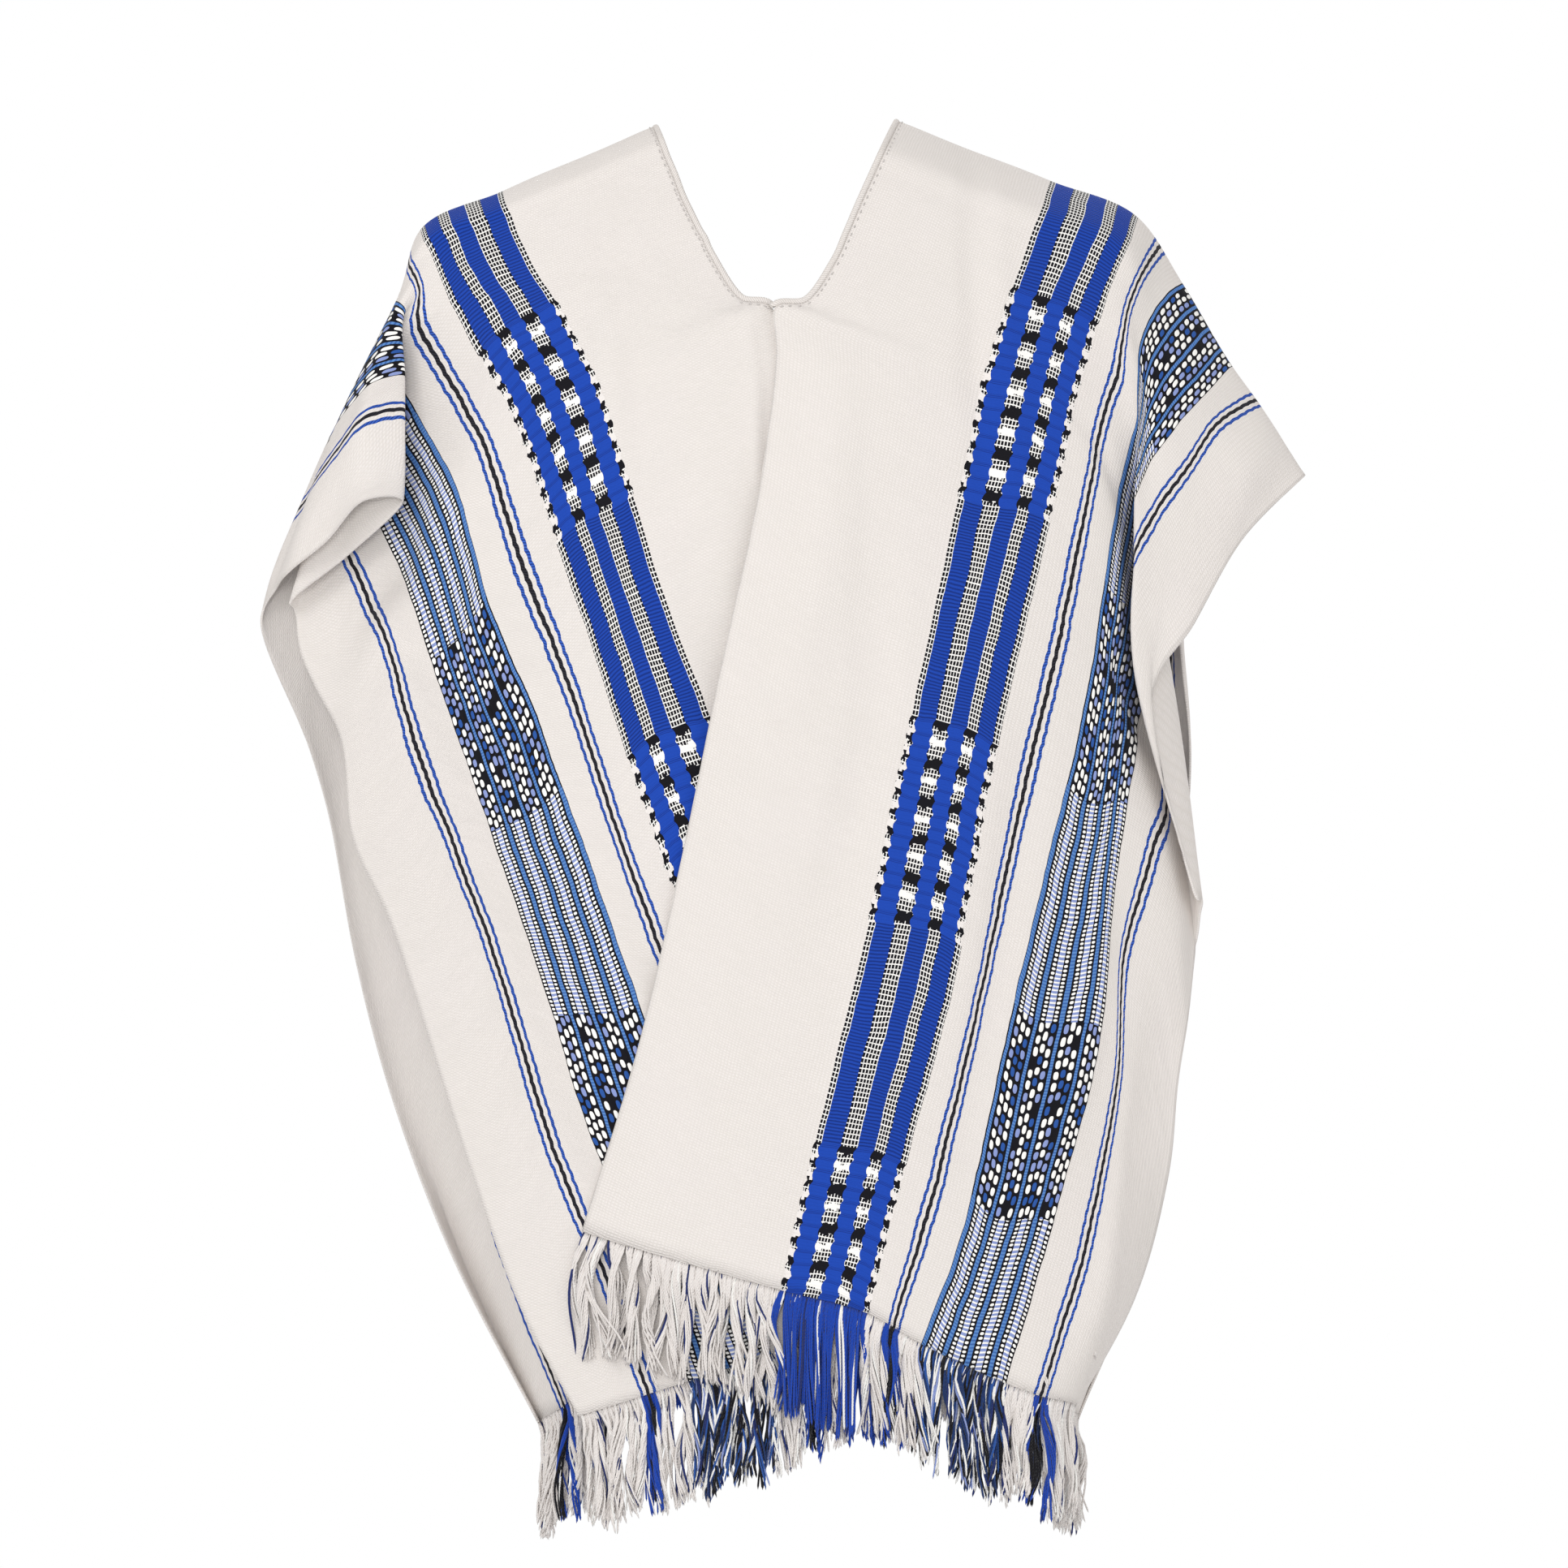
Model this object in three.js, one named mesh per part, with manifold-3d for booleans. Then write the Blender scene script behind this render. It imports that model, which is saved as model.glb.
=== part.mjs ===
// A handwoven open-front poncho, hollow, as it hangs from a pair of sloping shoulders.
// Two woven strips run from the front hem over a shoulder to the back hem. They are sewn
// together down the centre back and meet in front under the neck, where a narrow binding
// goes round the neck opening. The warp ends hang from all four hems as fringe.
// Millimetres, +Z up, front towards -Y, +X to the viewer's right.
// The origin is between the shoulders, level with the sides of the neck.
import * as THREE from 'three';
import { mergeVertices } from 'three/addons/utils/BufferGeometryUtils.js';
import Module from 'manifold-3d';

const wasm = await Module();
wasm.setup();

// Cloth
const WALL = 2;
const SEAM_GAP = 0.3;
const CREAM = 0xece6dc;
const BLUE = 0x2349b8;

// Stations across a strip, in millimetres of cloth from its inner edge
const ACROSS = { edge: 0, bandStart: 125, bandEnd: 178, checkIn: 224, checkOut: 278, line: 303, margin: 335, selvage: 360 };
const STATIONS = Object.values(ACROSS);

// The body under the cloth: depth falls away towards the sides
const HALF_WIDTH = 300;
const ROUNDNESS = 2.2;
const SIDE_DEPTH = 26;
const SIDE_DEPTH_BACK = 30;

// Folds that hang from the shoulder blades, measured in cloth width and in depth at the hem
const FLUTE_PITCH = 118;
const FLUTE_DEPTH = 26;
const FLUTE_TOP = -200;
const FLUTE_BOTTOM = -760;

// Each row is one line across the cloth. x and z give it at the eight stations, as seen from
// the front. chest is how far the middle of the body stands forward there, side is the depth
// left at the body's side, and tuck is how far a fold draws the cloth in from the body's form.
const RIGHT_FRONT = [
  { row: 'shoulder line',
    x: [76, 170, 223, 252, 283, 298, 315, 328], z: [0, -37, -58, -100, -152, -173, -199, -219] },
  { row: 'over the shoulder', chest: 38, tuck: [0, 0, 0, 7, 2, 1, 0, 0],
    x: [68, 163, 216, 234, 263, 272, 292, 287], z: [-18, -56, -77, -116, -172, -188, -220, -260] },
  { row: 'sleeve upper', chest: 52, tuck: [0, 0, 0, -2, -10, -11, -12, -12],
    x: [60, 156, 208, 224, 244, 252, 259, 257], z: [-36, -74, -95, -139, -193, -216, -255, -312] },
  { row: 'sleeve lower', chest: 60, tuck: [0, 0, 0, -6, -12, -14, -13, -13],
    x: [52, 149, 201, 222, 228, 233, 232, 230], z: [-54, -93, -113, -159, -217, -243, -307, -362] },
  { row: 'sleeve fold', chest: 66, tuck: [0, 0, 0, -3, -11, -11, -10, -14],
    x: [44, 143, 194, 222, 221, 221, 223, 256], z: [-73, -112, -133, -184, -243, -275, -357, -474] },
  { row: 'tuck upper', chest: 72, tuck: [0, 0, 0, 1, 17, 19, 15, -6],
    x: [36, 137, 189, 218, 232, 239, 249, 262], z: [-91, -131, -152, -198, -277, -315, -385, -482] },
  { row: 'tuck bottom', chest: 78, tuck: [0, 0, 0, 4, 50, 49, 33, 3],
    x: [19, 131, 184, 213, 230, 238, 249, 261], z: [-115, -152, -170, -216, -312, -350, -410, -492] },
  { row: 'tuck lower', chest: 81, tuck: [0, 0, 0, 5, 38, 33, 23, 8],
    x: [-1, 127, 181, 209, 228, 238, 249, 260], z: [-119, -164, -182, -233, -342, -380, -440, -503] },
  { row: 'under the neck', chest: 86, tuck: [0, 0, 0, 0, 14, 12, 11, 11],
    x: [0, 123, 178, 206, 224, 240, 251, 258], z: [-148, -184, -201, -252, -377, -420, -470, -516] },
  { row: 'chest', chest: 98,
    x: [-11, 102, 154, 191, 216, 231, 247, 253], z: [-233, -277, -298, -350, -419, -452, -507, -555] },
  { row: 'waist', chest: 104,
    x: [-32, 81, 132, 172, 206, 213, 234, 247], z: [-329, -375, -395, -432, -488, -516, -560, -595] },
  { row: 'hip', chest: 105, tuck: [0, 0, 0, 0, 0, 0, 0, 9],
    x: [-58, 55, 109, 142, 197, 208, 224, 241], z: [-454, -499, -520, -556, -569, -598, -627, -653] },
  { row: 'skirt', chest: 105, tuck: [0, 0, 0, 0, 0, 0, 0, 32],
    x: [-86, 26, 78, 115, 169, 186, 209, 220], z: [-574, -619, -640, -677, -680, -705, -720, -730] },
  { row: 'hem', chest: 105, tuck: [0, 0, 0, 0, 0, 0, 13, 46],
    x: [-120, 3, 55, 88, 140, 161, 182, 183], z: [-684, -719, -733, -752, -777, -785, -791, -798] },
];

const LEFT_FRONT = [
  { row: 'shoulder line',
    x: [-77, -170, -220, -235, -276, -291, -303, -311], z: [-4, -44, -66, -111, -195, -233, -267, -289] },
  { row: 'over the shoulder', chest: 20, tuck: [0, 0, 0, 7, 0, -3, -4, -5],
    x: [-73, -167, -217, -235, -270, -283, -293, -300], z: [-13, -53, -74, -112, -186, -220, -250, -278] },
  { row: 'sleeve upper', chest: 30, tuck: [0, 0, 0, -1, -10, -12, -13, -14],
    x: [-69, -163, -213, -234, -260, -270, -273, -278], z: [-24, -61, -81, -113, -174, -203, -233, -261] },
  { row: 'sleeve lower', chest: 38, tuck: [0, 0, 0, -7, -17, -20, -19, -21],
    x: [-64, -160, -210, -232, -248, -254, -253, -256], z: [-36, -70, -88, -114, -163, -185, -222, -237] },
  { row: 'sleeve fold', chest: 45, tuck: [0, 0, 0, -4, -8, -9, -9, -9],
    x: [-60, -156, -207, -230, -230, -230, -230, -231], z: [-47, -79, -96, -118, -159, -180, -217, -236] },
  { row: 'pleat middle', chest: 52, tuck: [0, 0, 0, 2, 2, 1, 0, 1],
    x: [-54, -151, -203, -236, -247, -256, -262, -266], z: [-60, -89, -105, -128, -180, -210, -251, -270] },
  { row: 'pleat turn', chest: 57, tuck: [0, 0, 0, 7, 6, 6, 5, 6],
    x: [-48, -145, -199, -242, -266, -280, -293, -301], z: [-72, -99, -114, -141, -207, -240, -272, -298] },
  { row: 'pleat return', chest: 58, tuck: [0, 0, 0, 13, 16, 16, 15, 15],
    x: [-46, -143, -197, -241, -264, -278, -291, -299], z: [-75, -102, -117, -149, -214, -246, -277, -302] },
  { row: 'under the pleat', chest: 63, tuck: [0, 0, 0, 14, 18, 18, 17, 16],
    x: [-41, -137, -192, -228, -245, -264, -286, -296], z: [-86, -112, -127, -172, -253, -272, -300, -326] },
  { row: 'under the neck', chest: 76, tuck: [0, 0, 0, 13, 16, 15, 13, 10],
    x: [-23, -121, -174, -211, -233, -251, -273, -286], z: [-113, -143, -159, -200, -277, -300, -328, -350] },
  { row: 'upper chest', chest: 80,
    x: [-4, -110, -162, -197, -225, -242, -260, -270], z: [-118, -164, -182, -227, -296, -316, -355, -380] },
  { row: 'chest', chest: 88,
    x: [19, -89, -136, -176, -204, -222, -248, -262], z: [-170, -231, -255, -300, -359, -387, -422, -443] },
  { row: 'waist', chest: 95,
    x: [41, -67, -112, -147, -177, -198, -221, -240], z: [-243, -300, -324, -369, -435, -447, -473, -491] },
  { row: 'belly', chest: 102,
    x: [88, -25, -75, -107, -144, -168, -198, -221], z: [-360, -411, -438, -480, -530, -528, -538, -545] },
  { row: 'hip', chest: 105,
    x: [140, 28, -21, -56, -110, -136, -166, -188], z: [-509, -556, -578, -621, -635, -633, -640, -646] },
  { row: 'skirt', chest: 105,
    x: [168, 60, 10, -25, -82, -106, -133, -157], z: [-598, -643, -662, -706, -700, -708, -720, -731] },
  { row: 'hem', chest: 105,
    x: [192, 90, 40, -3, -54, -78, -102, -121], z: [-686, -727, -743, -758, -775, -783, -791, -797] },
];

const SEAM_X = SEAM_GAP / 2;
const RIGHT_BACK = [
  { row: 'below the shoulder line', chest: 34, side: 12, tuck: [0, 0, 0, 0, 0, 0, 3, 8],
    x: [60, 167, 212, 236, 262, 272, 284, 286], z: [-36, -75, -92, -138, -190, -212, -238, -256] },
  { row: 'neck', chest: 66, side: 24, tuck: [0, 0, 0, 0, 0, 1, 9, 22],
    x: [25, 142, 192, 216, 238, 247, 253, 251], z: [-114, -145, -158, -205, -252, -272, -297, -312] },
  { row: 'under the neck', chest: 69, side: 26, tuck: [0, 0, 0, 0, 0, 1, 10, 24],
    x: [SEAM_X, 133, 189, 213, 236, 246, 253, 252], z: [-124, -158, -172, -220, -270, -292, -317, -331] },
  { row: 'shoulder blades', chest: 80, tuck: [0, 0, 0, 0, 0, 1, 7, 17],
    x: [SEAM_X, 125, 178, 204, 232, 246, 257, 258], z: [-195, -225, -238, -280, -325, -349, -377, -393] },
  { row: 'waist', chest: 88, tuck: [0, 0, 0, 0, 0, 0, 3, 8],
    x: [SEAM_X, 118, 168, 190, 218, 231, 243, 248], z: [-320, -355, -370, -405, -440, -465, -500, -520] },
  { row: 'hip', chest: 90,
    x: [SEAM_X, 111, 158, 180, 206, 218, 230, 236], z: [-455, -494, -510, -540, -570, -590, -615, -630] },
  { row: 'skirt', chest: 90,
    x: [SEAM_X, 102, 145, 166, 190, 202, 212, 218], z: [-580, -619, -635, -660, -688, -705, -725, -738] },
  { row: 'hem', chest: 90,
    x: [SEAM_X, 93, 132, 150, 170, 180, 188, 190], z: [-690, -729, -745, -768, -788, -797, -806, -810] },
];

const LEFT_BACK = [
  { row: 'below the shoulder line', chest: 34, side: 12,
    x: [-69, -169, -214, -240, -283, -299, -314, -321], z: [-36, -77, -95, -135, -212, -248, -285, -312] },
  { row: 'neck', chest: 66, side: 24,
    x: [-26, -145, -196, -226, -262, -278, -290, -297], z: [-114, -146, -160, -200, -265, -300, -342, -375] },
  { row: 'under the neck', chest: 69, side: 26,
    x: [-SEAM_X, -135, -192, -222, -257, -272, -285, -292], z: [-124, -158, -172, -216, -280, -315, -357, -388] },
  { row: 'shoulder blades', chest: 80,
    x: [-SEAM_X, -128, -182, -212, -244, -258, -272, -280], z: [-195, -225, -238, -280, -335, -365, -400, -430] },
  { row: 'waist', chest: 88,
    x: [-SEAM_X, -119, -170, -196, -226, -240, -254, -264], z: [-320, -355, -370, -405, -455, -478, -500, -520] },
  { row: 'hip', chest: 90,
    x: [-SEAM_X, -105, -150, -172, -194, -203, -226, -240], z: [-455, -494, -510, -540, -570, -585, -600, -612] },
  { row: 'skirt', chest: 90, tuck: [0, 0, 0, 0, 0, 0, 4, 24],
    x: [-SEAM_X, -86, -122, -140, -160, -171, -198, -202], z: [-580, -619, -635, -660, -688, -700, -702, -710] },
  { row: 'hem', chest: 90, tuck: [0, 0, 0, 0, 0, 0, 6, 26],
    x: [-SEAM_X, -65, -92, -108, -124, -133, -149, -150], z: [-690, -725, -740, -765, -790, -800, -811, -812] },
];

// The right-hand front lies over the left-hand one
const OVERLAP = 7;

// How finely the solids are cut
const ACROSS_STEP = 15;
const STEPS_PER_ROW = 2;

// Neck binding
const BINDING_WIDTH = 4;
const BINDING_THICK = 3.4;
const BINDING_SIDES = 6;

// Fringe
const FRINGE_COUNT = 36;
const FRINGE_LENGTH = 66;
const FRINGE_VARIATION = 6;
const FRINGE_ROOT = 1.4;
const FRINGE_TIP = 1.1;
const STRAND_SIDES = 3;
const STRIP_HEIGHT = 3;

// Value of a smooth curve through values at knots
function through(values, knots, t) {
  let i = 0;
  while (i < knots.length - 2 && t > knots[i + 1]) {
    i += 1;
  }
  const last = knots.length - 1;
  const slope = (a, b) => (values[b] - values[a]) / (knots[b] - knots[a]);
  const tangent = (k) => {
    if (k === 0 || k === last) {
      return slope(Math.max(k - 1, 0), Math.min(k + 1, last));
    }
    const before = knots[k] - knots[k - 1];
    const after = knots[k + 1] - knots[k];
    return (slope(k - 1, k) * after + slope(k, k + 1) * before) / (before + after);
  };
  const span = knots[i + 1] - knots[i];
  const s = (t - knots[i]) / span;
  const h00 = (1 + 2 * s) * (1 - s) ** 2;
  const h10 = s * (1 - s) ** 2;
  const h01 = s * s * (3 - 2 * s);
  const h11 = s * s * (s - 1);
  return h00 * values[i] + h10 * span * tangent(i) + h01 * values[i + 1] + h11 * span * tangent(i + 1);
}

// A strip of cloth as a smooth surface. across is in mm of cloth from its inner edge, and
// along runs from the back hem, over the shoulder, to the front hem.
function makeStrip(front, back, lift, side) {
  const none = STATIONS.map(() => 0);
  const clean = (entry, forward) => ({
    x: entry.x,
    z: entry.z,
    tuck: entry.tuck ?? none,
    chest: forward * (entry.chest ?? 0),
    side: forward * (entry.side ?? (forward > 0 ? SIDE_DEPTH : SIDE_DEPTH_BACK)) * (entry.chest ? 1 : 0),
    lift: forward > 0 && entry.chest ? lift : 0,
    forward,
  });
  const rows = [...back.map((e) => clean(e, -1)).reverse(), ...front.map((e) => clean(e, 1))];
  const top = back.length;
  const knots = [0];
  for (let r = 1; r < rows.length; r += 1) {
    const apart = STATIONS.map((_, s) => Math.hypot(
      rows[r].x[s] - rows[r - 1].x[s],
      rows[r].z[s] - rows[r - 1].z[s],
      r === top || r === top + 1 ? 25 : 0,
    ));
    knots.push(knots[r - 1] + Math.sqrt(apart.reduce((a, b) => a + b) / apart.length));
  }
  const read = (key, across, along) => through(rows.map((row) => through(row[key], STATIONS, across)), knots, along);
  const single = (key, along) => through(rows.map((row) => row[key]), knots, along);
  const point = (across, along) => {
    let x = read('x', across, along);
    const z = read('z', across, along);
    const behind = along < knots[top];
    if (behind) {
      x = side * Math.max(side * x, SEAM_X);
    }
    const inward = Math.max(0, 1 - (Math.abs(x) / HALF_WIDTH) ** ROUNDNESS);
    const way = behind ? -1 : 1;
    const depth = Math.hypot(single('chest', along) * inward, single('side', along));
    const low = THREE.MathUtils.smoothstep(FLUTE_TOP - z, 0, FLUTE_TOP - FLUTE_BOTTOM);
    const flute = behind ? FLUTE_DEPTH * low * Math.cos((2 * Math.PI * across) / FLUTE_PITCH) : 0;
    const out = depth + single('lift', along) - read('tuck', across, along) + flute;
    return new THREE.Vector3(x, -way * out, z);
  };
  return { point, knots, top, side };
}

// Outward direction of a strip, away from the body
function outward(strip, across, along) {
  const { point, knots, top, side } = strip;
  const small = 0.5;
  const tiny = 0.02;
  const du = point(Math.min(across + small, ACROSS.selvage), along).sub(point(Math.max(across - small, 0), along));
  const dv = point(across, Math.min(along + tiny, knots.at(-1))).sub(point(across, Math.max(along - tiny, 0)));
  const normal = dv.cross(du).multiplyScalar(side).normalize();
  if (across === 0 && along < knots[top - 2]) {
    normal.setX(0).normalize(); // the two strips meet square at the centre back seam
  }
  return normal;
}

// Splits a list of knots into steps
function stepped(knots, perSpan) {
  const out = [knots[0]];
  for (let k = 1; k < knots.length; k += 1) {
    for (let j = 1; j <= perSpan; j += 1) {
      out.push(THREE.MathUtils.lerp(knots[k - 1], knots[k], j / perSpan));
    }
  }
  return out;
}

function acrossSteps() {
  const count = Math.round(ACROSS.selvage / ACROSS_STEP);
  return Array.from({ length: count + 1 }, (_, i) => (ACROSS.selvage * i) / count);
}

// A closed wall of cloth round a strip's surface
function clothWall(strip) {
  const us = acrossSteps();
  const vs = stepped(strip.knots, STEPS_PER_ROW);
  const positions = [];
  for (const face of [1, -1]) {
    for (const v of vs) {
      for (const u of us) {
        const p = strip.point(u, v).addScaledVector(outward(strip, u, v), (face * WALL) / 2);
        positions.push(p.x, p.y, p.z);
      }
    }
  }
  const nu = us.length;
  const nv = vs.length;
  const id = (face, i, j) => face * nu * nv + j * nu + i;
  const index = [];
  const quad = (a, b, c, d) => {
    if (strip.side > 0) {
      index.push(a, c, b, a, d, c);
    } else {
      index.push(a, b, c, a, c, d);
    }
  };
  for (let j = 0; j < nv - 1; j += 1) {
    for (let i = 0; i < nu - 1; i += 1) {
      quad(id(0, i, j), id(0, i + 1, j), id(0, i + 1, j + 1), id(0, i, j + 1));
      quad(id(1, i, j + 1), id(1, i + 1, j + 1), id(1, i + 1, j), id(1, i, j));
    }
  }
  for (let i = 0; i < nu - 1; i += 1) {
    quad(id(0, i, 0), id(1, i, 0), id(1, i + 1, 0), id(0, i + 1, 0));
    quad(id(0, i, nv - 1), id(0, i + 1, nv - 1), id(1, i + 1, nv - 1), id(1, i, nv - 1));
  }
  for (let j = 0; j < nv - 1; j += 1) {
    quad(id(0, 0, j + 1), id(1, 0, j + 1), id(1, 0, j), id(0, 0, j));
    quad(id(0, nu - 1, j), id(1, nu - 1, j), id(1, nu - 1, j + 1), id(0, nu - 1, j + 1));
  }
  return geometryFrom(positions, index);
}

function geometryFrom(positions, index) {
  const geometry = new THREE.BufferGeometry();
  geometry.setAttribute('position', new THREE.Float32BufferAttribute(positions, 3));
  geometry.setIndex(index);
  return geometry;
}

// A tube through rings of the same number of points, open in a loop or capped
function ringTube(rings, loop) {
  const n = rings[0].length;
  const positions = rings.flat().flatMap((p) => [p.x, p.y, p.z]);
  const index = [];
  const spans = loop ? rings.length : rings.length - 1;
  for (let r = 0; r < spans; r += 1) {
    const a = r * n;
    const b = ((r + 1) % rings.length) * n;
    for (let k = 0; k < n; k += 1) {
      const m = (k + 1) % n;
      index.push(a + k, a + m, b + m, a + k, b + m, b + k);
    }
  }
  if (!loop) {
    const end = (rings.length - 1) * n;
    for (let k = 1; k < n - 1; k += 1) {
      index.push(0, k + 1, k, end, end + k, end + k + 1);
    }
  }
  return geometryFrom(positions, index);
}

// The solid turned the right way out
function facingOut(geometry) {
  const p = geometry.attributes.position;
  const a = new THREE.Vector3();
  const b = new THREE.Vector3();
  const c = new THREE.Vector3();
  let volume = 0;
  const tri = geometry.index.array;
  for (let i = 0; i < tri.length; i += 3) {
    a.fromBufferAttribute(p, tri[i]);
    b.fromBufferAttribute(p, tri[i + 1]);
    c.fromBufferAttribute(p, tri[i + 2]);
    volume += a.dot(b.cross(c));
  }
  if (volume < 0) {
    for (let i = 0; i < tri.length; i += 3) {
      [tri[i + 1], tri[i + 2]] = [tri[i + 2], tri[i + 1]];
    }
  }
  return geometry;
}

function solidOf(geometry) {
  const merged = mergeVertices(facingOut(geometry), 1e-4);
  const mesh = new wasm.Mesh({
    numProp: 3,
    vertProperties: new Float32Array(merged.attributes.position.array),
    triVerts: new Uint32Array(merged.index.array),
  });
  return new wasm.Manifold(mesh);
}

function geometryOf(solid) {
  const mesh = solid.getMesh();
  return geometryFrom(Array.from(mesh.vertProperties), Array.from(mesh.triVerts));
}

// Inner edge of a strip round the neck between two rows, with the directions out of the cloth's
// edge and away from the body
function neckEdge(strip, fromRow, toRow) {
  const rows = strip.knots.slice(Math.min(fromRow, toRow), Math.max(fromRow, toRow) + 1);
  const stops = stepped(rows, STEPS_PER_ROW);
  if (toRow < fromRow) {
    stops.reverse();
  }
  const edge = stops.map((along) => strip.point(0, along));
  return edge.map((p, i) => {
    const run = edge[Math.min(i + 1, edge.length - 1)].clone().sub(edge[Math.max(i - 1, 0)]);
    const away = outward(strip, 0, stops[i]);
    const cloth = strip.point(6, stops[i]).sub(p);
    const into = run.cross(away).normalize();
    into.multiplyScalar(into.dot(cloth) > 0 ? -1 : 1);
    return { p, into, away };
  });
}

// The binding is a loop: down the front left edge, up the right, down the back right and up the back left
function neckBinding(left, right) {
  const frontLeft = neckEdge(left, left.top, left.top + 10);
  const frontRight = neckEdge(right, right.top + 7, right.top);
  const backRight = neckEdge(right, right.top, right.top - 3);
  const backLeft = neckEdge(left, left.top - 3, left.top);
  const loop = [...frontLeft, ...frontRight, ...backRight.slice(1, -1), ...backLeft.slice(1, -1)];
  const reach = SEAM_GAP + BINDING_WIDTH / 2;
  const centre = loop.map(({ p, into }) => p.clone().addScaledVector(into, reach));
  const rings = centre.map((c, i) => {
    const ahead = centre[(i + 1) % centre.length];
    const behind = centre[(i + centre.length - 1) % centre.length];
    const along = ahead.clone().sub(behind).normalize();
    const away = loop[i].away.clone().addScaledVector(along, -loop[i].away.dot(along)).normalize();
    const wide = along.clone().cross(away).normalize();
    return Array.from({ length: BINDING_SIDES }, (_, k) => {
      const turn = (2 * Math.PI * (k + 0.5)) / BINDING_SIDES;
      return c.clone()
        .addScaledVector(wide, (Math.cos(turn) * BINDING_WIDTH) / 2)
        .addScaledVector(away, (Math.sin(turn) * BINDING_THICK) / 2);
    });
  });
  return facingOut(ringTube(rings, true));
}

// A repeatable number from 0 to 1 for each strand
function scatter(n) {
  const s = Math.sin(n * 127.1 + 11.7) * 43758.5453;
  return s - Math.floor(s);
}

// Rings of a strand, from inside the strip down to its tip. across is the run of the hem.
function strandRings(root, down, across, away, seed) {
  const length = FRINGE_LENGTH + FRINGE_VARIATION * (2 * scatter(seed) - 1);
  const sway = new THREE.Vector3(3 * (scatter(seed + 0.3) - 0.5), 1.6 * (scatter(seed + 0.6) - 0.5), 0);
  const level = new THREE.Vector3(across.x, across.y, 0).normalize();
  const square = new THREE.Vector3(-level.y, level.x, 0);
  square.multiplyScalar(square.dot(away) < 0 ? -1 : 1);
  return [0, 0.34, 0.68, 1].map((s) => {
    const drop = length * s;
    const c = root.clone().addScaledVector(down, Math.min(drop, 6)).addScaledVector(sway, s);
    c.z -= Math.max(drop - 6, 0);
    const r = THREE.MathUtils.lerp(FRINGE_ROOT, FRINGE_TIP, s);
    return Array.from({ length: STRAND_SIDES }, (_, k) => {
      const turn = (2 * Math.PI * k) / STRAND_SIDES;
      return c.clone()
        .addScaledVector(s ? level : across, r * Math.cos(turn))
        .addScaledVector(s ? square : away, r * Math.sin(turn));
    });
  });
}

// A narrow strip along a hem with its strands fused into it
function fringe(strip, along, seed) {
  const inside = along > 0 ? along - 0.05 : along + 0.05;
  const steps = acrossSteps();
  const edge = steps.map((u) => strip.point(u, along));
  const hem = edge.map((p, i) => ({
    p,
    down: p.clone().sub(strip.point(steps[i], inside)).normalize(),
    away: outward(strip, steps[i], along),
  }));
  const rings = hem.map(({ p, down, away }) => {
    const corner = (low, out) => p.clone()
      .addScaledVector(down, SEAM_GAP + low * STRIP_HEIGHT)
      .addScaledVector(away, (out * (WALL + 0.6)) / 2);
    return [corner(0, 1), corner(0, -1), corner(1, -1), corner(1, 1)];
  });
  let solid = solidOf(ringTube(rings, false));
  for (let i = 0; i < FRINGE_COUNT; i += 1) {
    const place = ((hem.length - 1) * (i + 0.5)) / FRINGE_COUNT;
    const k = Math.floor(place);
    const p = hem[k].p.clone().lerp(hem[k + 1].p, place - k);
    const down = hem[k].down.clone().lerp(hem[k + 1].down, place - k).normalize();
    const run = hem[k + 1].p.clone().sub(hem[k].p).normalize();
    const root = p.addScaledVector(down, SEAM_GAP + STRIP_HEIGHT * 0.6);
    solid = solid.add(solidOf(ringTube(strandRings(root, down, run, hem[k].away, seed + i), false)));
  }
  const bodies = solid.decompose().sort((m, n) => n.volume() - m.volume());
  return geometryOf(bodies[0]);
}

function material(colour) {
  return new THREE.MeshStandardMaterial({ color: colour, roughness: 0.92, metalness: 0 });
}

function named(name, geometry, colour) {
  const mesh = new THREE.Mesh(geometry, material(colour));
  mesh.name = name;
  return mesh;
}

const left = makeStrip(LEFT_FRONT, LEFT_BACK, 0, -1);
const right = makeStrip(RIGHT_FRONT, RIGHT_BACK, OVERLAP, 1);

const poncho = new THREE.Group();
poncho.add(named('strip_left', facingOut(clothWall(left)), CREAM));
poncho.add(named('strip_right', facingOut(clothWall(right)), CREAM));
poncho.add(named('neck_binding', neckBinding(left, right), CREAM));
poncho.add(named('fringe_front_left', fringe(left, left.knots.at(-1), 100), CREAM));
poncho.add(named('fringe_front_right', fringe(right, right.knots.at(-1), 200), BLUE));
poncho.add(named('fringe_back_left', fringe(left, 0, 300), CREAM));
poncho.add(named('fringe_back_right', fringe(right, 0, 400), CREAM));

export default poncho;
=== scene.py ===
# %% [markdown]
# This lesson dresses a handwoven poncho. The real one is two long strips from a narrow hand
# loom, sewn together down the centre back, with a bound V neck and the warp ends left as
# fringe on all four hems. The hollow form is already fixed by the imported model, so each
# piece below repeats that form in the same sizes and adds what the eye sees: the folds, the
# weave with its striped bands, the stitches and the loose yarn.

# %% Load the fixed frame
import bpy
import bmesh
import math
import random
import numpy as np
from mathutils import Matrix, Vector, noise


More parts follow.
